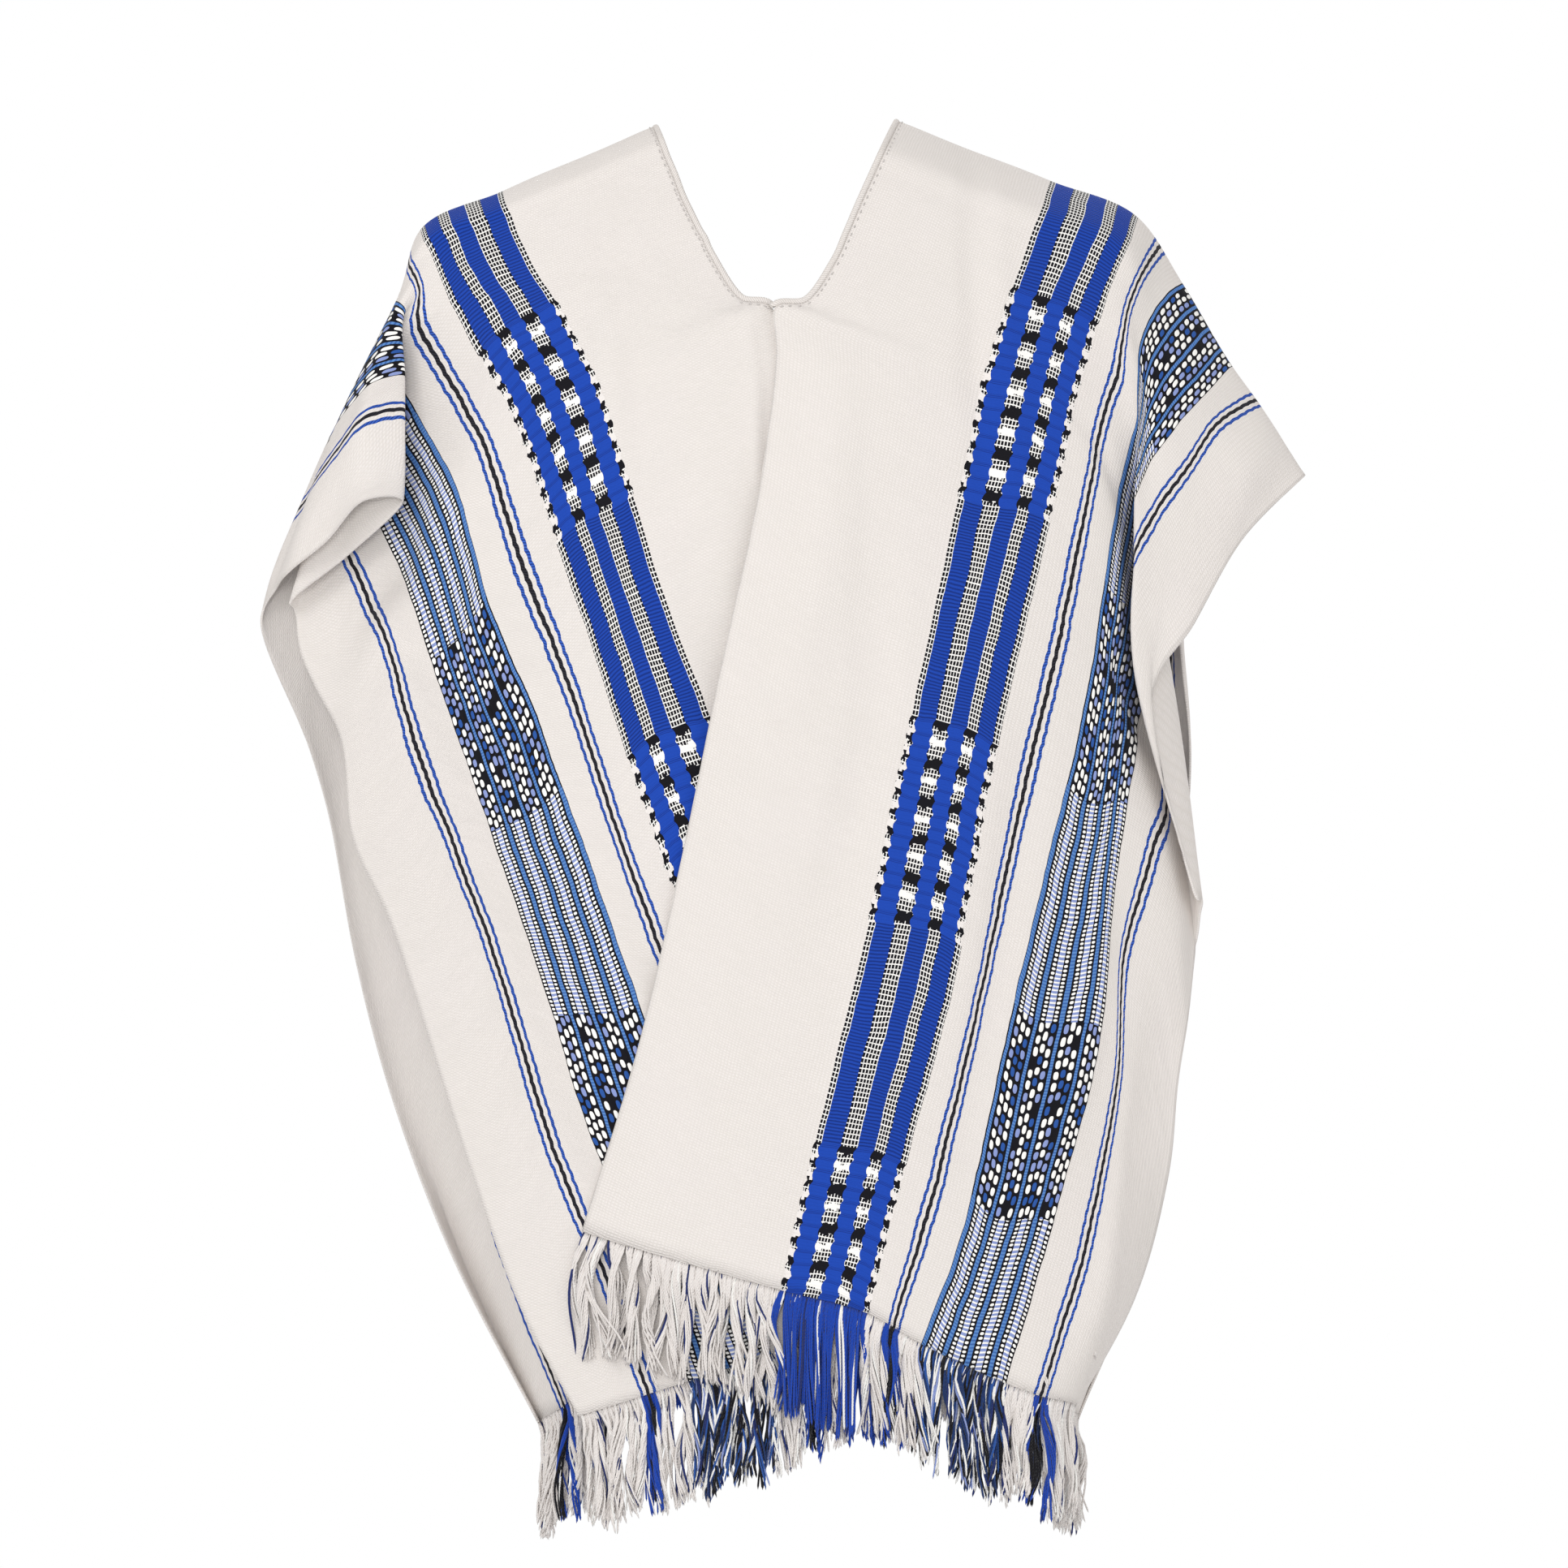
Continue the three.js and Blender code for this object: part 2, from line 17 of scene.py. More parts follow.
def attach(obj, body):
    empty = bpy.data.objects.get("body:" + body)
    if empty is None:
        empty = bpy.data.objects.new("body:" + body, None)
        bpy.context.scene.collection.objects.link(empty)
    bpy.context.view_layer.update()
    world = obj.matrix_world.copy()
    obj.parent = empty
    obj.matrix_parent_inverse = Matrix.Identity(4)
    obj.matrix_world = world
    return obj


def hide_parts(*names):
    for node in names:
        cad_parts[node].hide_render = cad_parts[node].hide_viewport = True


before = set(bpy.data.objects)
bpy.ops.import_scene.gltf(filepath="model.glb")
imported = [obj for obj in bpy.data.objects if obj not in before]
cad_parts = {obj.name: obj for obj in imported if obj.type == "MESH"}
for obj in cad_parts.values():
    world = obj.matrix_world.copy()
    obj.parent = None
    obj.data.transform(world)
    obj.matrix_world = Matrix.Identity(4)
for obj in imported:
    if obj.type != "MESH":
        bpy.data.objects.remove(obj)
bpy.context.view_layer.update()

# %% [markdown]
# The camera stands level with the middle of the cloth and far off, so that the hems don't
# spread with perspective. A long lens does that; a near camera would widen the front panels
# against the back ones.

# %% Camera
MM = 0.001
PHOTO_WIDTH = 0.966
VIEW_CENTRE = (0.0045, -0.05, -0.4105)
CAMERA_FAR = 6.0
SENSOR = 36.0

camera_data = bpy.data.cameras.new("camera")
camera_data.sensor_width = SENSOR
camera_data.lens = SENSOR * CAMERA_FAR / PHOTO_WIDTH
camera_data.dof.use_dof = False
camera = bpy.data.objects.new("camera", camera_data)
camera.location = (VIEW_CENTRE[0], VIEW_CENTRE[1] - CAMERA_FAR, VIEW_CENTRE[2])
camera.rotation_euler = (math.radians(90), 0, 0)
bpy.context.scene.collection.objects.link(camera)
bpy.context.scene.camera = camera
print("lens", round(camera_data.lens, 1), "mm")

# %% [markdown]
# Light is a white studio: an even white surround, a large soft lamp high on the left and a
# weaker one on the right. A further lamp beside the camera lights the inside of the sleeves and
# of the back as well as the front, and one behind lights the back. The camera sees the surround
# as pure white, and the cloth gets a little less of it, so the folds keep their soft shade.

# %% Floor and light
FLOOR_Z = -1.25
FLOOR_RADIUS = 3.2
SURROUND_LIGHT = 0.68
LAMPS = [
    {"name": "key", "at": (-1.9, -2.6, 1.5), "size": 1.6, "watts": 30},
    {"name": "front", "at": (-0.5, -5.0, 0.3), "size": 1.2, "watts": 54},
    {"name": "fill", "at": (2.4, -2.2, 0.2), "size": 2.2, "watts": 9},
    {"name": "back", "at": (0.6, 3.0, 1.2), "size": 2.4, "watts": 45},
]


def srgb(code):
    """Linear colour of an sRGB hex value."""
    parts = [int(code[i:i + 2], 16) / 255 for i in (0, 2, 4)]
    return tuple(p / 12.92 if p <= 0.04045 else ((p + 0.055) / 1.055) ** 2.4 for p in parts) + (1.0,)


def add(tree, kind, feeds=(), out=0, **settings):
    """Adds one node with its settings, feeds its sockets and gives one of its outputs.

    A feed may be another node's output, a value, or a colour's hex code."""
    node = tree.nodes.new("ShaderNode" + kind)
    for setting, value in settings.items():
        setattr(node, setting, value)
    for socket, value in feeds.items() if isinstance(feeds, dict) else enumerate(feeds):
        if isinstance(value, bpy.types.NodeSocket):
            tree.links.new(value, node.inputs[socket])
        else:
            node.inputs[socket].default_value = srgb(value) if isinstance(value, str) else value
    return node.outputs[out]


def new_material(name):
    """A material with its node tree and the inputs of its shader."""
    made = bpy.data.materials.new(name)
    made.use_nodes = True
    return made, made.node_tree, made.node_tree.nodes["Principled BSDF"].inputs


def set_matt(tree, shader, colour, normal, roughness, gloss):
    tree.links.new(colour, shader["Base Color"])
    tree.links.new(normal, shader["Normal"])
    shader["Roughness"].default_value = roughness
    shader["Specular IOR Level"].default_value = gloss


def new_object(name, bm):
    """An object at the origin made of a finished bmesh."""
    mesh = bpy.data.meshes.new(name)
    bm.to_mesh(mesh)
    bm.free()
    made = bpy.data.objects.new(name, mesh)
    bpy.context.scene.collection.objects.link(made)
    return made


def new_threads(name, bm, merge):
    """An object made of rolled grids, once their corners that meet are merged."""
    bmesh.ops.remove_doubles(bm, verts=bm.verts, dist=merge)
    bmesh.ops.recalc_face_normals(bm, faces=bm.faces)
    for face in bm.faces:
        face.smooth = True
    return new_object(name, bm)


def light_studio():
    world = bpy.data.worlds.new("white_surround")
    world.use_nodes = True
    bpy.context.scene.world = world
    tree = world.node_tree
    seen = add(tree, "LightPath", out="Is Camera Ray")
    strength = add(tree, "MapRange", {0: seen, 3: SURROUND_LIGHT, 4: 1.0})
    tree.nodes["Background"].inputs["Color"].default_value = (1, 1, 1, 1)
    tree.links.new(strength, tree.nodes["Background"].inputs["Strength"])
    for lamp in LAMPS:
        data = bpy.data.lights.new(lamp["name"], "AREA")
        data.size = lamp["size"]
        data.energy = lamp["watts"]
        placed = bpy.data.objects.new(lamp["name"], data)
        placed.location = lamp["at"]
        toward = Vector(VIEW_CENTRE) - Vector(lamp["at"])
        placed.rotation_euler = toward.to_track_quat("-Z", "Y").to_euler()
        bpy.context.scene.collection.objects.link(placed)
    bpy.context.scene.view_settings.view_transform = "Standard"


def pale_floor():
    bm = bmesh.new()
    bmesh.ops.create_circle(bm, cap_ends=True, segments=96, radius=FLOOR_RADIUS)
    bmesh.ops.translate(bm, verts=bm.verts, vec=(0, 0, FLOOR_Z))
    floor = new_object("floor", bm)
    paint, _, shader = new_material("pale_studio_floor")
    shader["Base Color"].default_value = srgb("efefef")
    shader["Roughness"].default_value = 0.9
    floor.data.materials.append(paint)


light_studio()
pale_floor()
print("lamps", len(LAMPS))

# %% [markdown]
# Each strip is one sheet of cloth 360 mm wide that runs from the front hem over a shoulder to
# the back hem. Its form could come from a cloth simulation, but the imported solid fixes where
# every fold lies, so the strip is laid through the same rows: one row for each line across
# the cloth, seen from the front, in millimetres. Chest is how far the body stands forward
# there, side is the depth left at the body's side, and tuck is how far a fold draws in.

# %% Rows of the two strips
STRIP_WIDTH = 360
STATIONS = (0, 125, 178, 224, 278, 303, 335, STRIP_WIDTH)
SEAM_X = 0.15


def row(name, x, z, chest=0, side=None, tuck=(0,) * len(STATIONS)):
    return {"name": name, "chest": chest, "side": side, "tuck": tuck, "x": x, "z": z}


RIGHT_FRONT = [
    row("shoulder line",
        x=(76, 170, 223, 252, 283, 298, 315, 328),
        z=(0, -37, -58, -100, -152, -173, -199, -219)),
    row("over the shoulder", chest=38, tuck=(0, 0, 0, 7, 2, 1, 0, 0),
        x=(68, 163, 216, 234, 263, 272, 292, 287),
        z=(-18, -56, -77, -116, -172, -188, -220, -260)),
    row("sleeve upper", chest=52, tuck=(0, 0, 0, -2, -10, -11, -12, -12),
        x=(60, 156, 208, 224, 244, 252, 259, 257),
        z=(-36, -74, -95, -139, -193, -216, -255, -312)),
    row("sleeve lower", chest=60, tuck=(0, 0, 0, -6, -12, -14, -13, -13),
        x=(52, 149, 201, 222, 228, 233, 232, 230),
        z=(-54, -93, -113, -159, -217, -243, -307, -362)),
    row("sleeve fold", chest=66, tuck=(0, 0, 0, -3, -11, -11, -10, -14),
        x=(44, 143, 194, 222, 221, 221, 223, 256),
        z=(-73, -112, -133, -184, -243, -275, -357, -474)),
    row("tuck upper", chest=72, tuck=(0, 0, 0, 1, 17, 19, 15, -6),
        x=(36, 137, 189, 218, 232, 239, 249, 262),
        z=(-91, -131, -152, -198, -277, -315, -385, -482)),
    row("tuck bottom", chest=78, tuck=(0, 0, 0, 4, 50, 49, 33, 3),
        x=(19, 131, 184, 213, 230, 238, 249, 261),
        z=(-115, -152, -170, -216, -312, -350, -410, -492)),
    row("tuck lower", chest=81, tuck=(0, 0, 0, 5, 38, 33, 23, 8),
        x=(-1, 127, 181, 209, 228, 238, 249, 260),
        z=(-119, -164, -182, -233, -342, -380, -440, -503)),
    row("under the neck", chest=86, tuck=(0, 0, 0, 0, 14, 12, 11, 11),
        x=(0, 123, 178, 206, 224, 240, 251, 258),
        z=(-148, -184, -201, -252, -377, -420, -470, -516)),
    row("chest", chest=98,
        x=(-11, 102, 154, 191, 216, 231, 247, 253),
        z=(-233, -277, -298, -350, -419, -452, -507, -555)),
    row("waist", chest=104,
        x=(-32, 81, 132, 172, 206, 213, 234, 247),
        z=(-329, -375, -395, -432, -488, -516, -560, -595)),
    row("hip", chest=105, tuck=(0, 0, 0, 0, 0, 0, 0, 9),
        x=(-58, 55, 109, 142, 197, 208, 224, 241),
        z=(-454, -499, -520, -556, -569, -598, -627, -653)),
    row("skirt", chest=105, tuck=(0, 0, 0, 0, 0, 0, 0, 32),
        x=(-86, 26, 78, 115, 169, 186, 209, 220),
        z=(-574, -619, -640, -677, -680, -705, -720, -730)),
    row("hem", chest=105, tuck=(0, 0, 0, 0, 0, 0, 13, 46),
        x=(-120, 3, 55, 88, 140, 161, 182, 183),
        z=(-684, -719, -733, -752, -777, -785, -791, -798)),
]
LEFT_FRONT = [
    row("shoulder line",
        x=(-77, -170, -220, -235, -276, -291, -303, -311),
        z=(-4, -44, -66, -111, -195, -233, -267, -289)),
    row("over the shoulder", chest=20, tuck=(0, 0, 0, 7, 0, -3, -4, -5),
        x=(-73, -167, -217, -235, -270, -283, -293, -300),
        z=(-13, -53, -74, -112, -186, -220, -250, -278)),
    row("sleeve upper", chest=30, tuck=(0, 0, 0, -1, -10, -12, -13, -14),
        x=(-69, -163, -213, -234, -260, -270, -273, -278),
        z=(-24, -61, -81, -113, -174, -203, -233, -261)),
    row("sleeve lower", chest=38, tuck=(0, 0, 0, -7, -17, -20, -19, -21),
        x=(-64, -160, -210, -232, -248, -254, -253, -256),
        z=(-36, -70, -88, -114, -163, -185, -222, -237)),
    row("sleeve fold", chest=45, tuck=(0, 0, 0, -4, -8, -9, -9, -9),
        x=(-60, -156, -207, -230, -230, -230, -230, -231),
        z=(-47, -79, -96, -118, -159, -180, -217, -236)),
    row("pleat middle", chest=52, tuck=(0, 0, 0, 2, 2, 1, 0, 1),
        x=(-54, -151, -203, -236, -247, -256, -262, -266),
        z=(-60, -89, -105, -128, -180, -210, -251, -270)),
    row("pleat turn", chest=57, tuck=(0, 0, 0, 7, 6, 6, 5, 6),
        x=(-48, -145, -199, -242, -266, -280, -293, -301),
        z=(-72, -99, -114, -141, -207, -240, -272, -298)),
    row("pleat return", chest=58, tuck=(0, 0, 0, 13, 16, 16, 15, 15),
        x=(-46, -143, -197, -241, -264, -278, -291, -299),
        z=(-75, -102, -117, -149, -214, -246, -277, -302)),
    row("under the pleat", chest=63, tuck=(0, 0, 0, 14, 18, 18, 17, 16),
        x=(-41, -137, -192, -228, -245, -264, -286, -296),
        z=(-86, -112, -127, -172, -253, -272, -300, -326)),
    row("under the neck", chest=76, tuck=(0, 0, 0, 13, 16, 15, 13, 10),
        x=(-23, -121, -174, -211, -233, -251, -273, -286),
        z=(-113, -143, -159, -200, -277, -300, -328, -350)),
    row("upper chest", chest=80,
        x=(-4, -110, -162, -197, -225, -242, -260, -270),
        z=(-118, -164, -182, -227, -296, -316, -355, -380)),
    row("chest", chest=88,
        x=(19, -89, -136, -176, -204, -222, -248, -262),
        z=(-170, -231, -255, -300, -359, -387, -422, -443)),
    row("waist", chest=95,
        x=(41, -67, -112, -147, -177, -198, -221, -240),
        z=(-243, -300, -324, -369, -435, -447, -473, -491)),
    row("belly", chest=102,
        x=(88, -25, -75, -107, -144, -168, -198, -221),
        z=(-360, -411, -438, -480, -530, -528, -538, -545)),
    row("hip", chest=105,
        x=(140, 28, -21, -56, -110, -136, -166, -188),
        z=(-509, -556, -578, -621, -635, -633, -640, -646)),
    row("skirt", chest=105,
        x=(168, 60, 10, -25, -82, -106, -133, -157),
        z=(-598, -643, -662, -706, -700, -708, -720, -731)),
    row("hem", chest=105,
        x=(192, 90, 40, -3, -54, -78, -102, -121),
        z=(-686, -727, -743, -758, -775, -783, -791, -797)),
]
RIGHT_BACK = [
    row("below the shoulder line", chest=34, side=12, tuck=(0, 0, 0, 0, 0, 0, 3, 8),
        x=(60, 167, 212, 236, 262, 272, 284, 286),
        z=(-36, -75, -92, -138, -190, -212, -238, -256)),
    row("neck", chest=66, side=24, tuck=(0, 0, 0, 0, 0, 1, 9, 22),
        x=(25, 142, 192, 216, 238, 247, 253, 251),
        z=(-114, -145, -158, -205, -252, -272, -297, -312)),
    row("under the neck", chest=69, side=26, tuck=(0, 0, 0, 0, 0, 1, 10, 24),
        x=(SEAM_X, 133, 189, 213, 236, 246, 253, 252),
        z=(-124, -158, -172, -220, -270, -292, -317, -331)),
    row("shoulder blades", chest=80, tuck=(0, 0, 0, 0, 0, 1, 7, 17),
        x=(SEAM_X, 125, 178, 204, 232, 246, 257, 258),
        z=(-195, -225, -238, -280, -325, -349, -377, -393)),
    row("waist", chest=88, tuck=(0, 0, 0, 0, 0, 0, 3, 8),
        x=(SEAM_X, 118, 168, 190, 218, 231, 243, 248),
        z=(-320, -355, -370, -405, -440, -465, -500, -520)),
    row("hip", chest=90,
        x=(SEAM_X, 111, 158, 180, 206, 218, 230, 236),
        z=(-455, -494, -510, -540, -570, -590, -615, -630)),
    row("skirt", chest=90,
        x=(SEAM_X, 102, 145, 166, 190, 202, 212, 218),
        z=(-580, -619, -635, -660, -688, -705, -725, -738)),
    row("hem", chest=90,
        x=(SEAM_X, 93, 132, 150, 170, 180, 188, 190),
        z=(-690, -729, -745, -768, -788, -797, -806, -810)),
]
LEFT_BACK = [
    row("below the shoulder line", chest=34, side=12,
        x=(-69, -169, -214, -240, -283, -299, -314, -321),
        z=(-36, -77, -95, -135, -212, -248, -285, -312)),
    row("neck", chest=66, side=24,
        x=(-26, -145, -196, -226, -262, -278, -290, -297),
        z=(-114, -146, -160, -200, -265, -300, -342, -375)),
    row("under the neck", chest=69, side=26,
        x=(-SEAM_X, -135, -192, -222, -257, -272, -285, -292),
        z=(-124, -158, -172, -216, -280, -315, -357, -388)),
    row("shoulder blades", chest=80,
        x=(-SEAM_X, -128, -182, -212, -244, -258, -272, -280),
        z=(-195, -225, -238, -280, -335, -365, -400, -430)),
    row("waist", chest=88,
        x=(-SEAM_X, -119, -170, -196, -226, -240, -254, -264),
        z=(-320, -355, -370, -405, -455, -478, -500, -520)),
    row("hip", chest=90,
        x=(-SEAM_X, -105, -150, -172, -194, -203, -226, -240),
        z=(-455, -494, -510, -540, -570, -585, -600, -612)),
    row("skirt", chest=90, tuck=(0, 0, 0, 0, 0, 0, 4, 24),
        x=(-SEAM_X, -86, -122, -140, -160, -171, -198, -202),
        z=(-580, -619, -635, -660, -688, -700, -702, -710)),
    row("hem", chest=90, tuck=(0, 0, 0, 0, 0, 0, 6, 26),
        x=(-SEAM_X, -65, -92, -108, -124, -133, -149, -150),
        z=(-690, -725, -740, -765, -790, -800, -811, -812)),
]
print("rows down the left front", [entry["name"] for entry in LEFT_FRONT])

# %% [markdown]
# A smooth curve through the rows gives the surface. Because such a curve is a weighted sum of
# its values, one small matrix of weights along the strip and one across it place every point
# at once. Behind, deep flutes fall from the shoulder blades, as heavy cloth does where it is
# wider than the back.

# %% From rows to a surface
HALF_WIDTH = 300
ROUNDNESS = 2.2
SIDE_DEPTH_FRONT = 26
SIDE_DEPTH_BACK = 30
FLUTE_PITCH = 118
FLUTE_DEPTH = 26
FLUTE_TOP = -200
FLUTE_BOTTOM = -760
OVERLAP = 7
SHOULDER_EXTRA = 25


def curve_weights(knots, places):
    """One row of weights for each place on a smooth curve through values at the knots."""
    knots = np.asarray(knots, float)
    last = len(knots) - 1
    gaps = np.diff(knots)
    tangent = np.zeros((last + 1, last + 1))
    tangent[0, :2] = -1 / gaps[0], 1 / gaps[0]
    tangent[last, last - 1:] = -1 / gaps[-1], 1 / gaps[-1]
    for k in range(1, last):
        before, after = gaps[k - 1], gaps[k]
        share = after / (before + after)
        tangent[k, k - 1] = -share / before
        tangent[k, k] = share / before - (1 - share) / after
        tangent[k, k + 1] = (1 - share) / after
    weights = np.zeros((len(places), last + 1))
    for line, place in zip(weights, places):
        i = min(max(np.searchsorted(knots, place) - 1, 0), last - 1)
        s = (place - knots[i]) / gaps[i]
        line[i] += (1 + 2 * s) * (1 - s) ** 2
        line[i + 1] += s * s * (3 - 2 * s)
        line += gaps[i] * s * (1 - s) * ((1 - s) * tangent[i] - s * tangent[i + 1])
    return weights


def make_strip(front, back, lift, side):
    """The rows of a strip from its back hem to its front hem, and their places along it."""
    rows = back[::-1] + front
    top = len(back)
    ways = np.array([-1] * len(back) + [1] * len(front))
    read = lambda key: np.array([entry[key] for entry in rows], float)
    depths = [SIDE_DEPTH_FRONT if way > 0 else SIDE_DEPTH_BACK for way in ways]
    sides = [usual if entry["side"] is None else entry["side"] for usual, entry in zip(depths, rows)]
    worn = read("chest") > 0
    knots = [0.0]
    for r in range(1, len(rows)):
        extra = SHOULDER_EXTRA if r in (top, top + 1) else 0
        step_x, step_z = read("x")[r] - read("x")[r - 1], read("z")[r] - read("z")[r - 1]
        steps = np.sqrt(step_x ** 2 + step_z ** 2 + extra ** 2)
        knots.append(knots[-1] + math.sqrt(steps.mean()))
    return {
        "x": read("x"), "z": read("z"), "tuck": read("tuck"), "chest": ways * read("chest"),
        "side": ways * np.array(sides) * worn, "lift": lift * worn * (ways > 0),
        "knots": np.array(knots), "top": top, "way": side,
    }


def surface(strip, across, along):
    """Points of a strip in millimetres, one line for each place along it."""
    by_along = curve_weights(strip["knots"], along)
    by_across = curve_weights(STATIONS, across).T
    x = by_along @ strip["x"] @ by_across
    z = by_along @ strip["z"] @ by_across
    tuck = by_along @ strip["tuck"] @ by_across
    behind = (np.asarray(along) < strip["knots"][strip["top"]])[:, None]
    x = np.where(behind, strip["way"] * np.maximum(strip["way"] * x, SEAM_X), x)
    inward = np.maximum(0, 1 - (np.abs(x) / HALF_WIDTH) ** ROUNDNESS)
    body = np.hypot((by_along @ strip["chest"])[:, None] * inward, (by_along @ strip["side"])[:, None])
    low = np.clip((FLUTE_TOP - z) / (FLUTE_TOP - FLUTE_BOTTOM), 0, 1)
    swing = np.cos(2 * np.pi * np.asarray(across) / FLUTE_PITCH)
    flute = FLUTE_DEPTH * low * low * (3 - 2 * low) * swing
    out = body + (by_along @ strip["lift"])[:, None] - tuck + behind * flute
    return np.stack([x, np.where(behind, out, -out), z], axis=-1)


def outward(points, way):
    """Directions away from the body, one for each point of a surface."""
    normal = np.cross(np.gradient(points, axis=0), np.gradient(points, axis=1)) * way
    return normal / np.maximum(np.linalg.norm(normal, axis=-1, keepdims=True), 1e-9)


RIGHT = make_strip(RIGHT_FRONT, RIGHT_BACK, OVERLAP, 1)
LEFT = make_strip(LEFT_FRONT, LEFT_BACK, 0, -1)
print("rows along a strip", len(RIGHT["knots"]), len(LEFT["knots"]))

# %% [markdown]
# The weave's blocks were woven flat at even distances, so a point needs its place in the
# cloth: how far from the inner edge, and how far along the warp from the shoulder. The first
# is the station. The second is the length measured along the strip, eased between the marks
# where a block begins, because folds take up a little more cloth in some places.

# %% Place in the cloth
WOVEN_MARKS = (0, 100, 236, 372, 508, 644, 740)
MARKED_AT = (0, 125, 178, 224, 278, STRIP_WIDTH)
RIGHT_MARKS = [
    (0, 110, 250, 390, 525, 665, 771),
    (0, 107, 245, 381, 510, 648, 741),
    (0, 100, 230, 373, 497, 634, 728),
    (0, 82, 221, 349, 487, 607, 704),
    (0, 96, 234, 360, 498, 622, 726),
    (0, 96, 234, 360, 498, 622, 726),
]
LEFT_MARKS = [
    (0, 106, 242, 386, 530, 672, 784),
    (0, 106, 240, 383, 524, 665, 765),
    (0, 113, 243, 383, 522, 660, 756),
    (0, 118, 251, 378, 520, 655, 746),
    (0, 150, 307, 419, 538, 665, 765),
    (0, 150, 307, 419, 538, 665, 765),
]
RIGHT["marks"] = RIGHT_MARKS
LEFT["marks"] = LEFT_MARKS


def warp_place(strip, points, across, along):
    """Warp length from the shoulder line to each point, less than 0 behind."""
    steps = np.linalg.norm(np.diff(points, axis=0), axis=-1)
    length = np.vstack([np.zeros(len(across)), np.cumsum(steps, axis=0)])
    over = [np.interp(strip["knots"][strip["top"]], along, column) for column in length.T]
    length = length - np.array(over)
    for j, u in enumerate(across):
        marks = [np.interp(u, MARKED_AT, column) for column in zip(*strip["marks"])]
        ahead = np.interp(length[:, j], marks, WOVEN_MARKS)
        beyond = np.maximum(length[:, j] - marks[-1], 0)
        length[:, j] = np.where(length[:, j] > 0, ahead + beyond, length[:, j])
    return length

# %% [markdown]
# The rows hold the large folds. Smaller creases are listed one by one, as a tailor would chalk
# them on the flat cloth: each one is a line of places (distance from the inner edge, warp
# length from the shoulder, in millimetres), half its width, and its height. A height below
# zero is a trough. No two are alike, and the back has its own, since it was worn too.

# %% Creases listed one by one
def crease(name, line, half, high):
    return {"name": name, "line": line, "half": half, "high": high}


RIGHT_CREASES = [
    crease("drag from the shoulder", [(60, 18), (110, 120), (150, 250)], half=20, high=-2.6),
    crease("ridge beside it", [(92, 60), (136, 160), (172, 300)], half=17, high=2.4),
    crease("soft fall on the chest", [(30, 170), (52, 300), (48, 430)], half=26, high=2.2),
    crease("trough at the waist", [(78, 260), (104, 400), (98, 560)], half=24, high=-2.8),
    crease("long ridge to the hem", [(128, 420), (140, 560), (150, 700)], half=25, high=3.0),
    crease("trough by the checks", [(196, 330), (205, 470), (214, 660)], half=20, high=-3.0),
    crease("pull at the tuck", [(232, 250), (262, 300), (300, 330)], half=13, high=-2.2),
    crease("fall under the sleeve", [(262, 400), (270, 520), (262, 640)], half=18, high=2.6),
    crease("curl at the selvage", [(338, 420), (332, 560), (340, 690)], half=18, high=-2.4),
    crease("back drag", [(40, -150), (96, -60), (160, -14)], half=20, high=-2.4),
    crease("back ridge", [(66, -220), (110, -110), (186, -40)], half=16, high=2.2),
    crease("back waist dip", [(30, -330), (38, -440), (26, -560)], half=20, high=-2.2),
    crease("back side fall", [(250, -230), (262, -360), (270, -520)], half=20, high=-2.8),
    crease("back selvage curl", [(334, -300), (340, -430), (332, -560)], half=17, high=2.2),
]
LEFT_CREASES = [
    crease("turn at the neck", [(20, 168), (31, 211), (41, 238), (50, 280)], half=7, high=1.3),
    crease("dip beside it", [(13, 172), (24, 211), (34, 240), (43, 276)], half=6, high=-1.2),
    crease("drag from the shoulder", [(46, 26), (86, 110), (112, 210)], half=18, high=-2.4),
    crease("ridge beside it", [(72, 70), (118, 170), (146, 280)], half=18, high=2.6),
    crease("fall on the chest", [(96, 230), (112, 360), (118, 500)], half=24, high=-2.4),
    crease("long ridge to the hem", [(70, 430), (88, 570), (84, 720)], half=26, high=2.8),
    crease("trough by the checks", [(204, 300), (212, 430), (204, 600)], half=20, high=-3.0),
    crease("side fall", [(300, 330), (296, 470), (306, 640)], half=18, high=2.4),
    crease("hem dip", [(150, 560), (160, 640), (158, 735)], half=20, high=-2.6),
    crease("back drag", [(30, -140), (84, -70), (150, -18)], half=19, high=-2.6),
    crease("back ridge", [(58, -230), (120, -120), (196, -48)], half=17, high=2.4),
    crease("back waist dip", [(44, -300), (36, -420), (48, -540)], half=22, high=-2.4),
    crease("back side fall", [(246, -200), (258, -340), (250, -500)], half=21, high=2.6),
    crease("back hem trough", [(180, -500), (190, -600), (184, -700)], half=18, high=-2.4),
]
CREASE_TAPER = 0.7
LIE_DOWN = 4.7
LIE_WIDE = 48
LIE_FROM = 192
LIE_RAMP = 25
HAND_WAVER = 1.1
WAVER_SIZE = 70
CALM_NECK = 12
CALM_SELVAGE = 8


